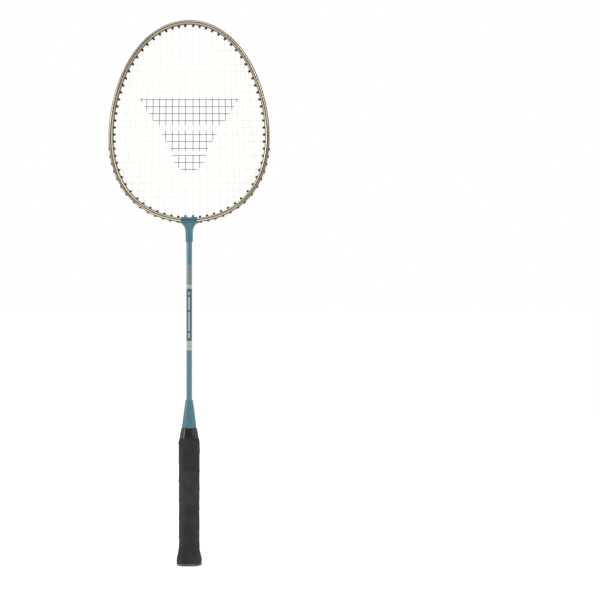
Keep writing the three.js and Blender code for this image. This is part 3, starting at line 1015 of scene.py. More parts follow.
@dataclass(frozen=True)
class BareAluminium(Finish):
    """Drawn aluminium of the hidden sleeve that joins the tube's ends."""

    metal: Colour = linear(196, 198, 202)
    dull: Colour = linear(140, 142, 146)

    def dress(self, graph: Graph) -> None:
        """Draw marks along the sleeve.

        Args:
            graph: where the nodes go.
        """
        marks = graph.noise(0.4, 3.0, (30.0, 1.0, 1.0))
        graph.set(Base_Color=graph.mix(marks, self.metal, self.dull), Metallic=1.0)
        graph.set(Roughness=graph.varied(marks, 0.3, 0.5))
        graph.set(Normal=graph.bump(marks, 0.01, 0.4))


@dataclass(frozen=True)
class HandleWood(Finish):
    """Planed pale hardwood of the hidden handle core."""

    early: Colour = linear(200, 160, 112)
    late: Colour = linear(142, 98, 60)

    def dress(self, graph: Graph) -> None:
        """Grain drawn out along the handle, with darker late-wood lines and open pores.

        Args:
            graph: where the nodes go.
        """
        figure = graph.noise(5.0, 4.0, (1.0, 1.0, 18.0))
        lines = graph.math("PINGPONG", graph.math("MULTIPLY", figure, 9.0), 0.5)
        pores = graph.noise(0.5, 3.0, (1.0, 1.0, 10.0))
        colour = graph.mix(graph.rise(lines, 0.1, 0.45), self.late, self.early)
        graph.set(Base_Color=colour, Roughness=graph.varied(pores, 0.5, 0.72))
        graph.set(Normal=graph.bump(pores, 0.05, 0.5))


@dataclass(frozen=True)
class FloorPaper(Finish):
    """Pale seamless paper that the racket stands on."""

    pale: Colour = (0.93, 0.93, 0.93)
    mottled: Colour = (0.9, 0.9, 0.9)

    def dress(self, graph: Graph) -> None:
        """Nearly white with the faintest mottle.

        Args:
            graph: where the nodes go.
        """
        mottle = graph.varied(graph.noise(60.0, 2.0), 0.0, 0.15)
        graph.set(Base_Color=graph.mix(mottle, self.pale, self.mottled), Roughness=0.9)
        graph.set(Specular_IOR_Level=0.1, Emission_Color=(1.0, 1.0, 1.0), Emission_Strength=0.45)


# ------------------------------------------------------------------------------------- the frame's places
@dataclass(frozen=True)
class Extent:
    """Where a CAD node lies."""

    low: Array
    high: Array

    @classmethod
    def of(cls, node: str) -> "Extent":
        """Reads the node's box from the frame."""
        low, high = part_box(node)
        return cls(np.array(low) / MM, np.array(high) / MM)

    @property
    def bottom(self) -> float:
        """Lowest z."""
        return float(self.low[2])

    @property
    def top(self) -> float:
        """Highest z."""
        return float(self.high[2])

    @property
    def half_width(self) -> float:
        """Half the size along X."""
        return float(self.high[0] - self.low[0]) / 2


class Side(Enum):
    """The two halves of the head, with the sign of their turns."""

    LEFT = -1
    RIGHT = 1


@dataclass(frozen=True)
class HeadOutline:
    """The head's outer outline, an egg narrower towards the throat. With turn t from 0 at the tip to pi at
    the throat, x = a sin t (1 - egg cos t + square cos^2 t) and z = top - b (1 - cos t)."""

    a: float
    b: float
    top: float
    egg: float = 0.1297
    square: float = 0.0832
    thickness: float = 5.8

    @classmethod
    def fullness(cls, cosine: Array) -> Array:
        """Factor that makes the ellipse an egg, from the cosine of the turn."""
        return 1 - cls.egg * cosine + cls.square * cosine * cosine

    @classmethod
    def of(cls, node: str) -> "HeadOutline":
        """The outline that fills a CAD node's box.

        Args:
            node: the node's name.

        Returns:
            The outline.
        """
        extent = Extent.of(node)
        turn = np.linspace(0, np.pi, 2001)
        across = np.sin(turn) * cls.fullness(np.cos(turn))
        return cls(extent.half_width / across.max(), (extent.top - extent.bottom) / 2, extent.top)

    def slope(self, turn: Array) -> tuple[Array, Array]:
        """Rates of x and z along the outline.

        Args:
            turn: place round the head.

        Returns:
            The two rates.
        """
        c, s = np.cos(turn), np.sin(turn)
        fullness = self.fullness(c)
        return self.a * (c * fullness + s * (self.egg * s - 2 * self.square * c * s)), -self.b * s

    def outward(self, turn: Array) -> Array:
        """Direction square to the outline, pointing away from the strings."""
        slope_x, slope_z = self.slope(turn)
        return unit(np.stack([-slope_z, np.zeros_like(slope_x), slope_x], axis=-1))

    def beside(self, turn: Array, out: Array | float = 0.0, y: Array | float = 0.0) -> Array:
        """Points at a distance outside the tube's centre line.

        Args:
            turn: place round the head, negative on the -X side.
            out: distance outwards from the centre line.
            y: distance towards the back.

        Returns:
            The points, with one more axis than turn.
        """
        turn = np.asarray(turn, float)
        c, s = np.cos(turn), np.sin(turn)
        fullness = self.fullness(c)
        point = np.stack([self.a * s * fullness, np.zeros_like(s), self.top - self.b * (1 - c)], axis=-1)
        away = np.asarray(out, float)[..., None] - self.thickness / 2
        return point + away * self.outward(turn) + np.asarray(y, float)[..., None] * BACKWARDS

    def turn_of_x(self, x: float) -> float:
        """Turn near the throat at which the outline lies x from the middle.

        Args:
            x: distance from the middle.

        Returns:
            The turn.
        """
        turn = np.linspace(2.6, np.pi, 4001)
        across = self.beside(turn, self.thickness / 2)[:, 0]
        return float(np.interp(x, across[::-1], turn[::-1]))


@dataclass(frozen=True)
class HolePlan:
    """String holes 1 to 36 on each side, counted from the tip to the throat. Seven at each end are
    spaced evenly across X, for the middle main strings, and 22 between them evenly down the head."""

    outline: HeadOutline
    mouth: float = -5.2
    end_holes: int = 7
    top_first: float = 4.75
    top_pitch: float = 7.55
    bottom_first: float = 4.6
    bottom_pitch: float = 8.38
    crosses: int = 22
    first_depth: float = 37.4
    cross_pitch: float = 8.514
    first_single: int = 22
    last_single: int = 35

    @property
    def count(self) -> int:
        """Holes on each side, which is also the number of the hole beside the throat's middle."""
        return 2 * self.end_holes + self.crosses

    def turns(self) -> Array:
        """Turn of each hole's axis on the +X side, found where the barrels' inner ends are.

        Returns:
            One turn for each hole, from the tip to the throat.
        """
        turn = np.linspace(0, np.pi, 20001)
        mouths = self.outline.beside(turn, self.mouth)
        across, depth = mouths[:, 0], self.outline.top - mouths[:, 2]
        widest = int(across.argmax())
        index = np.arange(self.end_holes)
        top = np.interp(self.top_first + self.top_pitch * index, across[:widest], turn[:widest])
        sides = np.interp(self.first_depth + self.cross_pitch * np.arange(self.crosses), depth, turn)
        low = self.bottom_first + self.bottom_pitch * index[::-1]
        bottom = np.interp(low, across[:widest:-1], turn[:widest:-1])
        return np.concatenate([top, sides, bottom])

    def turn(self, side: Side, hole: int) -> float:
        """Signed turn of one hole."""
        return side.value * float(self.turns()[hole - 1])

    def is_single(self, hole: int) -> bool:
        """Whether a hole has a grommet of its own."""
        return self.first_single <= hole <= self.last_single


# ------------------------------------------------------------------------------------- head tube
@dataclass
class HeadFrame:
    """The bent tube of the head: a rounded oval, hollow, with a string groove pressed into its outer side."""

    outline: HeadOutline
    half_depth: float = 5.0
    groove_half: float = 2.3
    groove_floor: float = 1.0
    lip: float = 0.3
    corner: float = 0.35
    wall: float = 0.8
    end_gap: float = 0.6
    rows: int = 560

    def section(self) -> Array:
        """Outline of the tube as (y, out), from the front edge of the groove round the strings' side.

        The inner half is half an ellipse. Each shoulder is a quarter ellipse from the widest point up to
        the lip, and the lips and the groove's corners are quarter circles.

        Returns:
            columns x 2 points.
        """
        thick = self.outline.thickness / 2
        lip_y = self.groove_half + self.lip
        shoulder = np.linspace(np.pi / 2, 0, 12)
        right_y = lip_y + (self.half_depth - lip_y) * np.cos(shoulder)
        right = np.stack([right_y, thick * np.sin(shoulder)], axis=1)
        round_under = np.linspace(0, -np.pi, 31)[1:-1]
        under = np.stack([self.half_depth * np.cos(round_under), thick * np.sin(round_under)], axis=1)
        left = right[::-1] * [-1, 1]
        bend = np.linspace(0, np.pi / 2, 5)
        drop = np.stack([
            -lip_y + self.lip * np.sin(bend),
            thick - self.lip + self.lip * np.cos(bend),
        ], axis=1)
        inside = np.stack([
            -self.groove_half + self.corner * (1 - np.cos(bend)),
            self.groove_floor + self.corner * (1 - np.sin(bend)),
        ], axis=1)
        half_groove = np.vstack([drop[1:], inside, [[-0.6, self.groove_floor]]])
        return np.vstack([right, under, left, half_groove, half_groove[::-1] * [-1, 1]])

    def build(self) -> None:
        """Carries the section round the head and the hollow back again, and maps the arc length."""
        end = self.outline.turn_of_x(self.end_gap / 2)
        turn = np.linspace(-end, end, self.rows)
        section = self.section()
        outer = self.outline.beside(turn[:, None], section[None, :, 1], section[None, :, 0])
        hollow_out = self.groove_floor - self.wall
        hollow_in = -self.outline.thickness / 2 + self.wall
        angle = np.arctan2(section[:, 1], section[:, 0])
        hollow_y = (self.half_depth - self.wall - 0.2) * np.cos(angle)
        hollow = (hollow_out + hollow_in) / 2 + (hollow_out - hollow_in) / 2 * np.sin(angle)
        inner = self.outline.beside(turn[:, None], hollow[None], hollow_y[None])
        centre = self.outline.beside(turn)
        along = lengths_along(centre)
        along -= along[-1] / 2
        along_map = np.broadcast_to(along[:, None], outer.shape[:2])
        out_map = np.broadcast_to(section[None, :, 1], outer.shape[:2])
        uv = np.stack([along_map, out_map], axis=-1) * MM
        skin = Skin()
        skin.add(sleeve(outer, inner), sleeve(uv, uv), 0.0, Ends.JOINED)
        skin.piece("head_tube", ChampagneLacquer(), "frame_metal", ["head_frame"])


# ------------------------------------------------------------------------------------- grommets
@dataclass
class Grommets:
    """Nylon grommets: strips of seven in the groove round the upper head, single ones with domed heads
    round the lower head."""

    plan: HolePlan
    seat: float = 1.3
    band: float = 0.6
    band_half: float = 2.0
    overhang: float = 3.2
    barrel: float = 1.5
    bore: float = 0.86
    collar: float = 0.25
    single_mouth: float = -4.5
    head: float = 1.9
    head_top: float = 4.0
    columns: int = 20

    @property
    def strip_top(self) -> float:
        """Distance out of a strip's upper face."""
        return self.seat + self.band

    @property
    def collar_top(self) -> float:
        """Distance out of the collar at the end of a strip's barrel."""
        return self.strip_top + self.collar

    def shank(self, corners: Sequence[tuple[float, float]], turn: float) -> Array:
        """A hollow turned piece on a hole's axis.

        Args:
            corners: closed profile of radius and distance out.
            turn: signed turn of the hole.

        Returns:
            The grid, to be joined end to end.
        """
        profile = rounded(np.array(corners), 0.32, 3)
        return turned(profile, self.columns, self.plan.outline.beside(turn), self.plan.outline.outward(turn))

    def barrel_of_strip(self, turn: float) -> Array:
        """A barrel that flares a little at its mouth and ends in a low collar on the strip.

        Args:
            turn: signed turn of the hole.

        Returns:
            The grid, to be joined end to end.
        """
        mouth, collar = self.plan.mouth, self.collar_top
        return self.shank([
            (self.bore, mouth), (self.barrel, mouth), (self.barrel, -2.6), (self.barrel + 0.1, self.seat),
            (self.barrel + 0.1, collar), (self.bore, collar),
        ], turn)

    def single(self, turn: float) -> Array:
        """A single grommet: barrel, a foot on the groove's floor and a domed head that stands proud.

        Args:
            turn: signed turn of the hole.

        Returns:
            The grid, to be joined end to end.
        """
        mouth, head, top = self.single_mouth, self.head, self.head_top
        return self.shank([
            (self.bore, mouth), (self.barrel, mouth), (self.barrel, self.seat), (head, self.seat),
            (head, top - 0.9), (head - 0.25, top - 0.3), (head - 0.6, top), (self.bore, top),
        ], turn)

    def strip(self, side: Side, first: int) -> Skin:
        """One strip: a band along the groove and its seven barrels.

        Args:
            side: half of the head.
            first: number of its first hole.

        Returns:
            The strip's skin.
        """
        turns = [self.plan.turn(side, hole) for hole in range(first, first + self.plan.end_holes)]
        margin = self.overhang / (self.plan.outline.a * 1.1)
        turn = np.linspace(turns[0] - side.value * margin, turns[-1] + side.value * margin, 90)
        reach = np.abs(np.linspace(-1, 1, len(turn)))
        nose = np.sqrt(np.clip(1 - ((reach - 0.955) / 0.045).clip(0) ** 2, 0.04, 1))
        half, low, high = self.band_half, self.seat, self.strip_top
        section = rounded(np.array([(-half, low), (-half, high), (half, high), (half, low)]), 0.22, 3)
        across = section[None, :, 0] * nose[:, None]
        grid = self.plan.outline.beside(turn[:, None], section[None, :, 1], across)
        skin = Skin()
        skin.add(grid)
        for place in turns:
            skin.add(self.barrel_of_strip(place), ends=Ends.JOINED)
        return skin

    def build(self) -> None:
        """Makes one piece for each CAD grommet node."""
        nylon = BlackNylon()
        for side in Side:
            name = side.name.lower()
            for index, stretch in enumerate(("tip", "shoulder", "flank")):
                skin = self.strip(side, 1 + index * self.plan.end_holes)
                skin.piece(f"nylon_strip_{stretch}_{name}", nylon, "grommet_nylon",
                           [f"grommet_strip_{stretch}_{name}"])
            for hole in range(self.plan.first_single, self.plan.last_single + 1):
                skin = Skin()
                skin.add(self.single(self.plan.turn(side, hole)), ends=Ends.JOINED)
                skin.piece(f"nylon_grommet_{name}_{hole}", nylon, "grommet_nylon", [f"grommet_{name}_{hole}"])


# ------------------------------------------------------------------------------------- strings
@dataclass
class StringBed:
    """22 main strings woven with 22 cross strings, each set one whole string that turns round outside the
    head from hole to hole, with a knot at each end."""

    plan: HolePlan
    grommets: Grommets
    radius: float = 0.35
    bore_offset: float = 0.38
    bend: float = 0.9
    clearance: float = 0.3
    fade: float = 4.0
    mains_per_side: int = 11
    per_strand: int = 176
    columns: int = 8
    knot_scale: float = 0.34
    knot_inside: float = 1.2
    knot_spread: float = 2.2
    stub: tuple[float, float, float] = (1.4, 1.2, 1.2)
    stencil_drop: float = 127.5
    crease: float = 60.0
    turns: Array = field(init=False)

    def __post_init__(self) -> None:
        """Keeps the holes' turns."""
        self.turns = self.plan.turns()

    def hole(self, side: Side, hole: int, out: float, y: float) -> Array:
        """Point on a hole's axis at a distance out, moved by y."""
        return self.plan.outline.beside(side.value * self.turns[hole - 1], out, y)

    def link_out(self, hole: int) -> float:
        """Distance out at which a string lies between two holes."""
        top = self.grommets.head_top if self.plan.is_single(hole) else self.grommets.collar_top
        return top + self.clearance / 2 + self.radius

    def link(self, start: tuple[Side, int], end: tuple[Side, int], y: float) -> Array:
        """The stretch out through one hole, along the groove and in through the next.

        Both bends are quadratic arcs about the corner where the hole's axis meets the line between holes.

        Args:
            start: side and number of the first hole.
            end: side and number of the second hole.
            y: distance of the string behind the middle plane.

        Returns:
            points x 3 route from barrel mouth to barrel mouth.
        """
        corners = [self.hole(*place, self.link_out(place[1]), y) for place in (start, end)]
        mouths = [self.hole(*place, self.plan.mouth, y) for place in (start, end)]
        across = unit(corners[1] - corners[0])
        t = np.linspace(0, 1, 7)[:, None]
        bends = []
        for corner, mouth, along in zip(corners, mouths, (across, -across)):
            inside = corner + unit(mouth - corner) * self.bend
            outside = corner + along * self.bend
            bends.append(arc(t, inside, corner, outside))
        share = np.linspace(0, 0.9, 4)[:, None]
        down = [mouth + share * (bend[0] - mouth) for mouth, bend in zip(mouths, bends)]
        return np.vstack([down[0], bends[0], bends[1][::-1], down[1][::-1]])

    def woven(self, ends: tuple[Array, Array], phase: Array, sign: float) -> Array:
        """A strand from mouth to mouth: y = sign r cos(pi phase), easing to sign times the bore offset
        within fade of either end.

        Args:
            ends: the two mouths.
            phase: count of crossings along the strand, plus the strand's own number.
            sign: 1 for main strings, -1 for cross strings.

        Returns:
            points x 3 route.
        """
        share = np.linspace(0, 1, self.per_strand)
        line = ends[0] + share[:, None] * (ends[1] - ends[0])
        from_end = np.minimum(share, 1 - share) * np.linalg.norm(ends[1] - ends[0])
        weight = ease(from_end / self.fade)
        line[:, 1] = sign * (weight * self.radius * np.cos(np.pi * phase) + (1 - weight) * self.bore_offset)
        return line

    def main(self, side: Side, number: int) -> Array:
        """Main string number 1 to 11 of one side, from the top down.

        Args:
            side: half of the head.
            number: its number, counted from the middle.

        Returns:
            Its route.
        """
        foot = self.plan.count + 1 - number
        ends = tuple(self.hole(side, hole, self.plan.mouth, 0.0) for hole in (number, foot))
        height = np.linspace(ends[0][2], ends[1][2], self.per_strand)
        crossing = (self.plan.outline.top - height - self.plan.first_depth) / self.plan.cross_pitch
        index = self.mains_per_side + (number - 1 if side is Side.RIGHT else -number)
        return self.woven(ends, crossing + index, 1.0)

    def cross(self, number: int) -> Array:
        """Cross string number 0 to 21, from left to right.

        The count of crossings along it comes from where the main strings pass at its height.

        Args:
            number: its number, counted from the top.

        Returns:
            Its route.
        """
        hole = self.plan.end_holes + 1 + number
        ends = tuple(self.hole(side, hole, self.plan.mouth, 0.0) for side in Side)
        index = np.arange(1, self.mains_per_side + 1)
        high = self.plan.outline.beside(self.turns[index - 1], self.plan.mouth)
        low = self.plan.outline.beside(self.turns[self.plan.count - index], self.plan.mouth)
        share = (high[:, 2] - ends[0][2]) / (high[:, 2] - low[:, 2])
        right = high[:, 0] + share * (low[:, 0] - high[:, 0])
        places = np.concatenate([-right[::-1], right])
        pitch = right[-1] - right[-2]
        places = np.concatenate([[places[0] - 8 * pitch], places, [places[-1] + 8 * pitch]])
        counts = np.concatenate([[-8.0], np.arange(2 * self.mains_per_side), [2 * self.mains_per_side + 7.0]])
        x = np.linspace(ends[0][0], ends[1][0], self.per_strand)
        return self.woven(ends, np.interp(x, places, counts) + number, -1.0)

    def tail(self, side: Side, hole: int, y: float) -> Array:
        """The end of a string: in from a barrel's mouth, through its knot and out as a short stub.

        Args:
            side: half of the head.
            hole: the hole's number.
            y: distance of the string behind the middle plane.

        Returns:
            Its route.
        """
        t = np.linspace(0, 1, 12)[1:, None]
        start, knot = self.hole(side, hole, self.plan.mouth, y), self.knot_place(side, hole, y)
        aside, back, down = self.stub
        return arc(t, start, knot, knot + np.array([aside, back * np.sign(y), -down]))

    def knot_place(self, side: Side, hole: int, y: float) -> Array:
        """Centre of the knot just inside a hole."""
        return self.hole(side, hole, self.plan.mouth - self.knot_inside, self.knot_spread * y)

    def half_of_mains(self, side: Side) -> list[Array]:
        """Route of one side's main strings, laced outwards from the tip.

        Args:
            side: half of the head.

        Returns:
            The parts of the route, in order.
        """
        y = self.bore_offset
        route = []
        for number in range(1, self.mains_per_side + 1):
            strand = self.main(side, number)
            if number % 2:
                foot = self.plan.count + 1 - number
                route += [strand, self.link((side, foot), (side, foot - 1), y)]
            else:
                route += [strand[::-1], self.link((side, number), (side, number + 1), y)]
        last = self.plan.count - self.mains_per_side
        return [*route, self.tail(side, last, y)]

    def mains(self) -> Array:
        """The whole main string, from the left knot over the tip to the right one.

        Returns:
            Its route.
        """
        left, right = self.half_of_mains(Side.LEFT), self.half_of_mains(Side.RIGHT)
        over = self.link((Side.LEFT, 1), (Side.RIGHT, 1), self.bore_offset)
        return np.vstack([*[part[::-1] for part in left[::-1]], over, *right])

    def crosses(self) -> Array:
        """The whole cross string, from the knot at hole 7 to the one at hole 30, both on the left.

        Returns:
            Its route.
        """
        y = -self.bore_offset
        first = self.plan.end_holes + 1
        last = first + self.plan.crosses - 1
        entry = self.link((Side.LEFT, first - 1), (Side.LEFT, first), y)
        route = [self.tail(Side.LEFT, first - 1, y)[::-1], entry]
        for hole in range(first, last + 1):
            strand = self.cross(hole - first)
            rightwards = (hole - first) % 2 == 0
            side = Side.RIGHT if rightwards else Side.LEFT
            route += [strand if rightwards else strand[::-1], self.link((side, hole), (side, hole + 1), y)]
        return np.vstack([*route, self.tail(Side.LEFT, last + 1, y)])

    def knot(self, centre: Array) -> Array:
        """A trefoil: (sin t + 2 sin 2t, cos t - 2 cos 2t, -sin 3t), scaled and centred.

        Args:
            centre: middle of the knot.

        Returns:
            The grid, to be joined end to end.
        """
        t = np.linspace(0, FULL_TURN, 72, endpoint=False)
        wide, tall = np.sin(t) + 2 * np.sin(2 * t), np.cos(t) - 2 * np.cos(2 * t)
        curve = np.stack([wide, -np.sin(3 * t), tall], axis=1)
        return swept(centre + self.knot_scale * curve, ring(self.columns, self.radius), True)

    def weave(self, route: Array, knots: Sequence[Array]) -> Skin:
        """A string along a route, with its arc length in metres as the first map value.

        Args:
            route: points x 3 centre line.
            knots: centres of its knots.

        Returns:
            The string's skin.
        """
        steps = np.linalg.norm(np.diff(route, axis=0), axis=1)
        route = route[np.concatenate([[True], steps > 0.02])]
        along = lengths_along(route)
        grid = swept(route, ring(self.columns, self.radius))
        around = np.arange(self.columns) / self.columns
        uv = np.stack(np.meshgrid(along * MM, around, indexing="ij"), axis=-1)
        skin = Skin()
        skin.add(grid, uv)
        for centre in knots:
            skin.add(self.knot(centre), ends=Ends.JOINED)
        return skin

    def build(self) -> None:
        """Makes the two strings."""
        nylon = StringNylon(self.plan.outline.top - self.stencil_drop)
        last = self.plan.count - self.mains_per_side
        y = self.bore_offset
        knots = [self.knot_place(side, last, y) for side in Side]
        skin = self.weave(self.mains(), knots)
        skin.piece("main_strings", nylon, "string", ["main_string"], self.crease)
        ends = (self.plan.end_holes, self.plan.end_holes + self.plan.crosses + 1)
        knots = [self.knot_place(Side.LEFT, hole, -y) for hole in ends]
        skin = self.weave(self.crosses(), knots)
        skin.piece("cross_strings", nylon, "string", ["cross_string"], self.crease)


# ------------------------------------------------------------------------------------- throat joint
@dataclass
class ThroatJoint:
    """The moulded T-piece: a sleeve round the tube's ends, a web that flares down from it and the stem
    that takes the shaft."""

    outline: HeadOutline
    plan: HolePlan
    sleeve_half: float = 10.3
    growth: float = 1.1
    clearance: float = 0.3
    half_depth: float = 5.0
    stem: float = 4.5
    stem_top: float = 405.5
    flare_half: float = 11.95
    flare_depth: float = 5.5
    bore: float = 3.8
    slit_depth: float = 0.6
    slit_half: float = 8.6
    slit_soft: float = 0.8
    pocket_x: float = 8.0
    pocket_soft: float = 1.1
    pocket_depth: float = 0.6
    end_round: float = 1.0
    lip: float = 1.1
    columns: int = 72

    def oval(self, grow: float, power: float = 2.5) -> Array:
        """Super-ellipse outside the tube's section, as (y, out).

        Args:
            grow: how far outside the tube's section.
            power: 2 for an ellipse, more for a squarer shape.

        Returns:
            columns x 2 points.
        """
        angle = np.linspace(0, FULL_TURN, self.columns, endpoint=False)
        c, s = np.cos(angle), np.sin(angle)
        y = (self.half_depth + grow) * signed_power(c, 2 / power)
        out = (self.outline.thickness / 2 + grow) * signed_power(s, 2 / power)
        return np.stack([y, out], axis=1)

    def sleeve_grid(self) -> Array:
        """The sleeve, with rounded ends and a slit across the middle of its front and back.

        The section shrinks by a quarter circle over the last end_round, and the slit takes
        depth exp(-(out / slit_soft)^2) off y where it runs.

        Returns:
            The grid, to be joined end to end.
        """
        end = self.outline.turn_of_x(self.sleeve_half)
        share = np.linspace(-1, 1, 97)
        turn = np.pi - share * (np.pi - end)
        x = np.abs(share) * self.sleeve_half
        past = ((x - self.sleeve_half + self.end_round) / self.end_round).clip(0)
        shrink = 0.7 * (1 - np.sqrt(np.clip(1 - past**2, 0, 1)))
        section = self.oval(self.growth)
        size = 1 - shrink[:, None] / (self.outline.thickness / 2 + self.growth)
        y, out = section[None, :, 0] * size, section[None, :, 1] * size
        slit = ease((self.slit_half - x) / self.slit_soft)[:, None] * np.exp(-((out / self.slit_soft) ** 2))
        aside = (x[:, None] - self.pocket_x) / self.pocket_soft
        pocket = np.exp(-(aside**2) - (out / self.pocket_soft) ** 2)
        dent = np.maximum(self.slit_depth * slit, self.pocket_depth * pocket)
        y = y * (1 - dent / (self.half_depth + self.growth))
        tunnel = self.oval(self.clearance, 2.3)
        outer = self.outline.beside(turn[:, None], out, y)
        inner = self.outline.beside(turn[:, None], tunnel[None, :, 1], tunnel[None, :, 0])
        return sleeve(outer, inner)

    def web_grid(self) -> Array:
        """The stem and its flare: from the bore's end down inside, round the rim and up outside.

        The outer radius grows from the stem to the wings as a quarter ellipse, and the flare's upper part
        rises sideways with the tube.

        Returns:
            The grid, to be capped.
        """
        base = Extent.of("throat_joint").bottom
        tube_bottom = self.outline.top - 2 * self.outline.b
        wing_top = tube_bottom - self.clearance
        swing = np.linspace(0, np.pi / 2, 26)
        out = 1 - np.cos(swing)
        flare_z = self.stem_top + (wing_top - self.lip - self.stem_top) * np.sin(swing)
        bore_z = np.array([wing_top - 4.0, base + 8.0, base + 0.5, base])
        rim_z = base + np.array([0.0, 0.15, 0.6, 1.6, 3.5, 7.0])
        rim = self.stem - np.array([0.3, 0.2, 0.08, 0.02, 0.0, 0.0])
        lip = np.linspace(0, np.pi / 2, 6)[1:]
        lip_z = wing_top - self.lip + self.lip * np.sin(lip)
        lip_in = 0.9 * (1 - np.cos(lip))
        heights = np.concatenate([bore_z, rim_z, flare_z, lip_z])
        stem = np.full(len(swing), self.stem)
        widths = np.concatenate([
            [self.bore] * 3 + [self.bore + 0.1], rim, stem + (self.flare_half - self.stem) * out,
            self.flare_half - lip_in,
        ])
        depths = np.concatenate([
            [self.bore] * 3 + [self.bore + 0.1], rim, stem + (self.flare_depth - self.stem) * out,
            self.flare_depth - 0.6 * lip_in,
        ])
        angle = np.linspace(0, FULL_TURN, self.columns, endpoint=False)
        power = 2 / (2 + 0.7 * ease((heights - self.stem_top) / 8))[:, None]
        c, s = np.cos(angle)[None], np.sin(angle)[None]
        section = np.stack([signed_power(c, power), signed_power(s, power)], axis=-1)
        grid = standing(section, heights, widths, depths)
        turn = np.linspace(2.6, np.pi, 400)
        tube = self.outline.beside(turn, -self.outline.thickness)
        lift = np.interp(np.abs(grid[..., 0]), tube[::-1, 0], tube[::-1, 2] - tube[-1, 2])
        grid[..., 2] += lift * ease((grid[..., 2] - self.stem_top) / (wing_top - self.stem_top))
        return grid

    def nipple(self, side: Side) -> Array:
        """A short moulded barrel on top of the sleeve for the innermost main string.

        Args:
            side: half of the head.

        Returns:
            The grid, to be joined end to end.
        """
        turn = self.plan.turn(side, self.plan.count)
        top, foot = self.plan.mouth - 0.8, -self.outline.thickness / 2 - 0.4
        corners = np.array([(0.86, top), (1.4, top), (1.6, foot), (0.86, foot)])
        profile = rounded(corners, 0.35, 3)
        return turned(profile, 20, self.outline.beside(turn), self.outline.outward(turn))

    def build(self) -> None:
        """Makes the sleeve, the web with its stem, and the nipples as one piece."""
        skin = Skin()
        skin.add(self.sleeve_grid(), ends=Ends.JOINED)
        skin.add(self.web_grid())
        for side in Side:
            skin.add(self.nipple(side), ends=Ends.JOINED)
        skin.piece("throat_piece", RecessedPlastic(), "teal_plastic", ["throat_joint"])


# ------------------------------------------------------------------------------------- shaft
@dataclass
class Shaft:
    """The thin steel tube between the throat joint and the handle."""

    wall: float = 0.6
    columns: int = 48
    chamfer: float = 0.25

    def build(self) -> None:
        """Turns the wall's profile: outside up, a chamfered end, and back down inside."""
        extent = Extent.of("shaft")
        radius, low, high = extent.half_width, extent.bottom, extent.top
        cut = self.chamfer
        z = np.concatenate([[low], np.linspace(low + cut, high - cut, 90), [high]])
        outside = np.concatenate([[radius - cut], np.full(90, radius), [radius - cut]])
        circle = ring(self.columns)
        outer = standing(circle, z, outside, outside)
        bore = np.full(len(z), radius - self.wall)
        skin = Skin()
        skin.add(sleeve(outer, standing(circle, z, bore, bore)), ends=Ends.JOINED)
        skin.piece("shaft_tube", ShaftPaint(), "teal_paint", ["shaft"])


# ------------------------------------------------------------------------------------- handle
@dataclass(frozen=True)
class HandleForm:
    """The handle's eight-sided section, a little less deep than wide. Unit corners lie at (1, 0.42) and
    (0.5, 1), and the depth is the width less flatness."""

    flatness: float = 1.1
    flat_x: float = 0.5
    flat_y: float = 0.42
    core: tuple[tuple[float, float], ...] = (
        (3.3, 13.4), (6.5, 13.4), (20.0, 10.7), (148.0, 10.7), (154.7, 10.5), (167.3, 7.7), (184.0, 5.7),
    )
    clearance: float = 0.3

    def octagon(self, softness: float, columns: int) -> Array:
        """Rounded unit octagon sampled evenly, starting on the +X side.

        Args:
            softness: length of side that each rounded corner takes up.
            columns: number of points.

        Returns:
            columns x 2 points.
        """
        corners = np.array([
            (1, -self.flat_y), (1, self.flat_y), (self.flat_x, 1), (-self.flat_x, 1),
            (-1, self.flat_y), (-1, -self.flat_y), (-self.flat_x, -1), (self.flat_x, -1),
        ])
        return evenly(rounded(corners, softness, 6), columns)

    def core_half(self, heights: Array) -> Array:
        """Half width of the space for the wooden core at each height."""
        z, half = np.array(self.core).T
        return np.interp(heights, z, half) + self.clearance

    def stretched(self, section: Array, heights: Array, halves: Array) -> Array:
        """The section at each height, for half widths across X."""
        return standing(section, heights, halves, halves - self.flatness)

    def wrapped(self, outer: Array, columns: int, low: float, high: float, rows: int = 10) -> Array:
        """An outer skin closed over the wooden core.

        Args:
            outer: rows x columns x 3 outer skin, from low to high.
            columns: points round the section.
            low: height of the lower end.
            high: height of the upper end.
            rows: rows of the inner skin.

        Returns:
            The sleeve's grid.
        """
        z = np.linspace(low, high, rows)
        inner = self.stretched(self.octagon(0.1, columns), z, self.core_half(z))
        return sleeve(outer, inner)


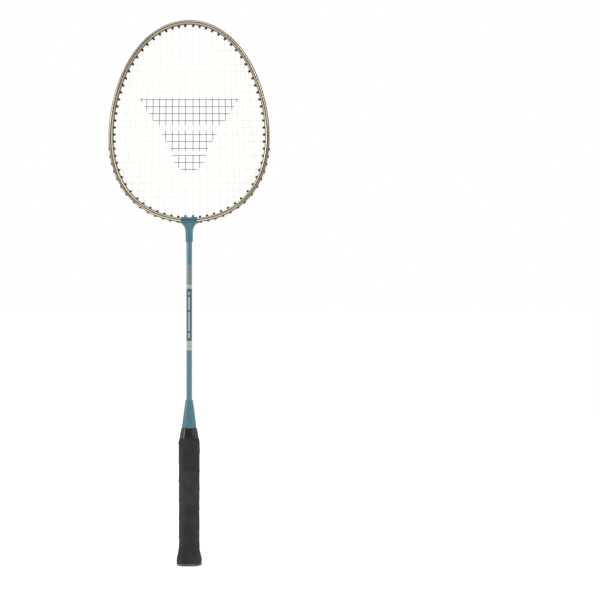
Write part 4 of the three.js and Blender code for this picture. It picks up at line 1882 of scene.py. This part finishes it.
@dataclass
class GripWrap:
    """The spirally wound grip. Each turn laps over the one below it, so the surface rises by a lap at the
    turn's lower edge and settles back over the rest of the pitch."""

    form: HandleForm
    pitch: float = 23.0
    lap: float = 0.42
    columns: int = 168
    rows: int = 520
    inner_rows: int = 10
    softness: float = 0.22
    crease: float = 50.0
    stations: tuple[tuple[float, float], ...] = (
        (3.3, 14.6), (3.9, 15.1), (5.2, 15.3), (9.0, 14.9), (14.0, 13.7), (20.0, 12.7), (28.0, 12.35),
        (80.0, 12.4), (140.0, 12.7), (149.0, 12.8), (152.5, 12.5), (154.4, 11.7),
    )

    def relief(self, z: Array, share: Array) -> Array:
        """Height of the surface over the plain section.

        With phase p the share of a pitch above a turn's edge: lap ease(p / 0.04) exp(-p / 0.4), a shallow
        trough just under the edge, and three slow ripples that stand for the padding underneath.

        Args:
            z: height of each row, as a column.
            share: share of a turn of each column, as a row.

        Returns:
            rows x columns heights.
        """
        phase = (z / self.pitch + share) % 1.0
        edge = self.lap * ease(phase / 0.04) * np.exp(-phase / 0.4)
        trough = -0.12 * np.exp(-(((1 - phase) / 0.03) ** 2))
        angle = FULL_TURN * share
        ripple = 0.07 * np.sin(2 * angle + z / 7.3) + 0.06 * np.sin(3 * angle - z / 4.1 + 1.3)
        ripple = ripple + 0.05 * np.sin(5 * angle + z / 2.9 + 0.6) * np.sin(z / 11.0)
        low, high = z.min(), z.max()
        fade = ease((z - low) / 3) * ease((high - z) / 3)
        return (edge + trough + ripple) * fade

    def build(self) -> None:
        """Winds the grip over the core."""
        extent = Extent.of("grip_wrap")
        low, high = extent.bottom - REACH, extent.top
        z = np.linspace(low, high, self.rows)
        heights, halves = np.array(self.stations).T
        plain = np.interp(z, heights, halves)
        soft = np.convolve(np.pad(plain, 8, mode="edge"), np.ones(17) / 17, mode="valid")
        half = np.where(z < 6, plain, soft)
        section = self.form.octagon(self.softness, self.columns)
        share = np.arange(self.columns) / self.columns
        outer = self.form.stretched(section, z, half)
        away = unit(section)
        height = self.relief(z[:, None], share[None])
        outer[..., :2] += height[..., None] * away[None]
        grid = self.form.wrapped(outer, self.columns, low, high, self.inner_rows)
        inner_z = np.linspace(low, high, self.inner_rows)
        along = np.concatenate([z, inner_z[::-1]]) * MM
        uv = np.stack(np.meshgrid(along, share, indexing="ij"), axis=-1)
        skin = Skin()
        skin.add(grid, uv, ends=Ends.JOINED)
        skin.piece("grip_winding", GripLeather(self.pitch), "grip_wrap", ["grip_wrap"], self.crease)


@dataclass
class FinishingTape:
    """The glossy tape over the grip's upper end, with the step of its own outer end."""

    form: HandleForm
    halves: tuple[float, float] = (11.7, 9.3)
    step: float = 0.2
    columns: int = 144
    rows: int = 60

    def build(self) -> None:
        """Winds the tape: a cone whose radius grows evenly by one step over each turn."""
        extent = Extent.of("finishing_tape")
        low, high = extent.bottom - REACH, extent.top + REACH
        z = np.linspace(low, high, self.rows)
        share = (z - low) / (high - low)
        half = self.halves[0] + (self.halves[1] - self.halves[0]) * share
        rim = np.minimum(z - low, high - z)
        half = half + 0.12 * np.sin(np.pi * share) - 0.35 * (1 - ease(rim / 0.7))
        section = self.form.octagon(0.26, self.columns)
        outer = self.form.stretched(section, z, half)
        turn = (np.arange(self.columns) / self.columns + 0.18 + 0.02 * share[:, None]) % 1.0
        climb = self.step * turn * ease((1 - turn) / 0.012)
        wrinkle = 0.05 * np.sin(FULL_TURN * 3 * turn + z[:, None] / 1.7) * ease(rim / 2)[:, None]
        outer[..., :2] += (climb + wrinkle)[..., None] * unit(section)[None]
        skin = Skin()
        skin.add(self.form.wrapped(outer, self.columns, low, high), ends=Ends.JOINED)
        skin.piece("tape_collar", GlossTape(), "gloss_tape", ["finishing_tape"])


@dataclass
class ConeFerrule:
    """The moulded cone: eight-sided where it meets the tape, round at the lip that holds the shaft."""

    form: HandleForm
    bottom_half: float = 8.75
    top_half: float = 4.4
    lip: float = 2.2
    bore: float = 3.8
    columns: int = 144
    rows: int = 70

    def build(self) -> None:
        """Blends the section from octagon to circle, with a beaded lip and a fine step at the foot."""
        extent = Extent.of("cone_ferrule")
        low, high = extent.bottom, extent.top
        foot = low + np.array([0.0, 0.1, 0.35, 0.8])
        top = high - np.array([0.6, 0.3, 0.1, 0.0])
        z = np.concatenate([foot, np.linspace(low + 1.4, high - 0.9, self.rows), top])
        share = (z - low) / (high - low)
        half = self.bottom_half + (self.top_half - self.bottom_half) * share
        half = half + 0.25 * np.sin(np.pi * share)
        half = half - 0.5 * (1 - ease((z - low + 0.25) / 0.7))
        neck = ease((z - high + self.lip + 0.7) / 0.35) * ease((high - self.lip + 0.1 - z) / 0.35)
        half = half - 0.18 * neck - 0.3 * ease((z - high + 0.9) / 0.9) ** 2
        octagon = self.form.octagon(0.12, self.columns)
        weight = (1 - ease((share - 0.15) / 0.75))[:, None, None]
        section = weight * octagon + (1 - weight) * unit(octagon)
        outer = standing(section, z, half, half - 0.5 * self.form.flatness * (1 - share))
        shoulder = self.form.core[-1][0] + 0.5
        steps = np.array([-10.5, -4.5, -0.2, 0.1])
        bore_z = np.concatenate([[low, low + 3], shoulder + steps, [high]])
        hollow = np.where(bore_z < shoulder, self.form.core_half(bore_z), self.bore)
        inner_section = np.where((bore_z < shoulder)[:, None, None], octagon, unit(octagon))
        inner = standing(inner_section, bore_z, hollow, np.maximum(hollow - self.form.flatness, self.bore))
        inner[-2:] = standing(unit(octagon), bore_z[-2:], hollow[-2:], hollow[-2:])
        skin = Skin()
        skin.add(sleeve(outer, inner), ends=Ends.JOINED)
        skin.piece("cone", TealPlastic(), "teal_plastic", ["cone_ferrule"])


@dataclass
class ButtCap:
    """The cap at the butt: a rounded eight-sided disc with a shallow dish and a plain ring underneath,
    on a spigot that plugs into the core."""

    form: HandleForm
    half: float = 15.2
    thickness: float = 3.0
    spigot: float = 5.0
    spigot_top: float = 15.0
    columns: int = 144

    def build(self) -> None:
        """Rows from the middle of the underside out, up the rim and in to the spigot."""
        share = np.array([0.05, 0.2, 0.34, 0.36, 0.4, 0.42, 0.6, 0.7, 0.73, 0.76, 0.8, 0.86])
        dish = np.array([0.35, 0.35, 0.35, 0.6, 0.6, 0.35, 0.35, 0.35, 0.2, 0.05, 0.0, 0.0])
        angle = np.linspace(0, np.pi / 2, 8)
        rim = self.half - 1.5 * (1 - np.sin(angle))
        rim_z = 1.5 * (1 - np.cos(angle))
        line = self.half - np.array([0.0, 0.25, 0.25, 0.0, 0.0, 0.35])
        line_z = np.array([1.9, 2.0, 2.2, 2.3, 2.75, 3.0])
        neck = self.spigot
        heights = np.concatenate([dish, rim_z, line_z, [3.0, 3.1, self.spigot_top - 0.6, self.spigot_top]])
        halves = np.concatenate([share * self.half, rim, line, [neck + 0.5, neck, neck, neck - 0.6]])
        octagon = self.form.octagon(0.28, self.columns)
        corner = ease((halves / self.half - 0.45) / 0.3)[:, None, None]
        section = corner * octagon + (1 - corner) * unit(octagon)
        outer = standing(section, heights, halves, halves - self.form.flatness * corner[:, 0, 0])
        skin = Skin()
        skin.add(outer)
        skin.piece("butt_end", CapRubber(), "butt_cap", ["butt_cap"])


@dataclass
class HiddenPieces:
    """The pieces that other pieces cover: they keep their CAD shapes and get their own finishes."""

    dressed: tuple[tuple[str, Finish], ...] = (
        ("frame_joint_plug", BareAluminium()),
        ("handle_core", HandleWood()),
    )

    def build(self) -> None:
        """Puts each finish on its node."""
        for node, finish in self.dressed:
            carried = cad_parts[node]
            carried.data.materials.clear()
            carried.data.materials.append(finish.material())
            log.info("%s: CAD shape kept", node)


# ------------------------------------------------------------------------------------- studio
@dataclass
class Studio:
    """Pale floor, white surround, soft lights and a level camera a little to the right of the racket."""

    camera_place: tuple[float, float, float] = (0.1353, -2.0355, 0.3234)
    lens: float = 100.0
    sensor: float = 36.0
    clip: tuple[float, float] = (0.05, 60.0)
    floor_reach: float = 55.0
    fill: float = 0.6
    side_gloss: float = 0.95
    front_gloss: float = 0.3
    soft_lights: tuple[tuple[str, tuple[float, float, float], float, float], ...] = (
        ("key_light", (1.3, -1.7, 1.6), 1.0, 12.0),
        ("left_light", (-1.6, -0.9, 0.8), 0.9, 8.0),
        ("back_light", (-0.5, 1.9, 1.4), 1.0, 11.0),
    )

    def lay_floor(self) -> None:
        """A flat sheet under the butt."""
        side = np.array([-self.floor_reach, self.floor_reach])
        x, y = np.meshgrid(side, side)
        corners = np.stack([x.ravel(), y.ravel(), np.zeros(4)], axis=1)
        mesh = bpy.data.meshes.new("floor")
        mesh.from_pydata(corners.tolist(), [], [(0, 1, 3, 2)])
        mesh.materials.append(FloorPaper().material())
        placed("floor", mesh)

    def light(self) -> None:
        """Square soft lights aimed at the middle of the racket."""
        middle = (cad_box[0] + cad_box[1]) / 2
        for name, place, size, power in self.soft_lights:
            lamp = bpy.data.lights.new(name, "AREA")
            lamp.size, lamp.energy = size, power
            stand = placed(name, lamp)
            stand.location = place
            stand.rotation_euler = (middle - Vector(place)).to_track_quat("-Z", "Y").to_euler()

    def surround(self) -> None:
        """White all round for the eye, softer for matt surfaces, and for gloss bright at the sides and dim
        before and behind, as between two white boards."""
        world = bpy.data.worlds.new("surround")
        world.use_nodes = True
        nodes, links = world.node_tree.nodes, world.node_tree.links
        path, toward = nodes.new("ShaderNodeLightPath"), nodes.new("ShaderNodeTexCoord")
        split = nodes.new("ShaderNodeSeparateXYZ")
        links.new(toward.outputs["Generated"], split.inputs[0])

        def step(operation: str, first: object, second: object = 0.0, third: object = 0.0) -> Socket:
            """One arithmetic step on numbers or sockets.

            Args:
                operation: name of the node's operation.
                first: first value.
                second: second value.
                third: third value.

            Returns:
                The result.
            """
            made = nodes.new("ShaderNodeMath")
            made.operation = operation
            for socket, value in zip(made.inputs, (first, second, third)):
                if isinstance(value, bpy.types.NodeSocket):
                    links.new(value, socket)
                else:
                    socket.default_value = value
            return made.outputs[0]

        dim = step("POWER", step("ABSOLUTE", split.outputs[1]), 2.0)
        gloss = step("MULTIPLY_ADD", dim, self.front_gloss - self.side_gloss, self.side_gloss - self.fill)
        strength = step("MULTIPLY_ADD", path.outputs["Is Glossy Ray"], gloss, self.fill)
        strength = step("MULTIPLY_ADD", path.outputs["Is Camera Ray"], 1.0 - self.fill, strength)
        links.new(strength, nodes["Background"].inputs["Strength"])
        nodes["Background"].inputs["Color"].default_value = (1.0, 1.0, 1.0, 1.0)
        bpy.context.scene.world = world
        bpy.context.scene.view_settings.view_transform = "Standard"

    def set_camera(self) -> None:
        """A long lens that looks level along +Y."""
        camera = bpy.data.cameras.new("camera")
        camera.lens, camera.sensor_width = self.lens, self.sensor
        camera.clip_start, camera.clip_end = self.clip
        stand = placed("camera", camera)
        stand.location = self.camera_place
        stand.rotation_euler = (np.pi / 2, 0.0, 0.0)
        bpy.context.scene.camera = stand

    def build(self) -> None:
        """Sets up everything that isn't the racket."""
        self.lay_floor()
        self.light()
        self.surround()
        self.set_camera()
        log.info("studio ready")


def main() -> None:
    """Builds the racket from the head down, then the studio."""
    logging.basicConfig(level=logging.INFO, format="%(name)s: %(message)s")
    outline = HeadOutline.of("head_frame")
    plan = HolePlan(outline)
    grommets = Grommets(plan)
    form = HandleForm()
    assemblies = [
        HeadFrame(outline), grommets, StringBed(plan, grommets), ThroatJoint(outline, plan), Shaft(),
        ConeFerrule(form), FinishingTape(form), GripWrap(form), ButtCap(form), HiddenPieces(), Studio(),
    ]
    for assembly in assemblies:
        assembly.build()


if __name__ == "__main__":
    main()
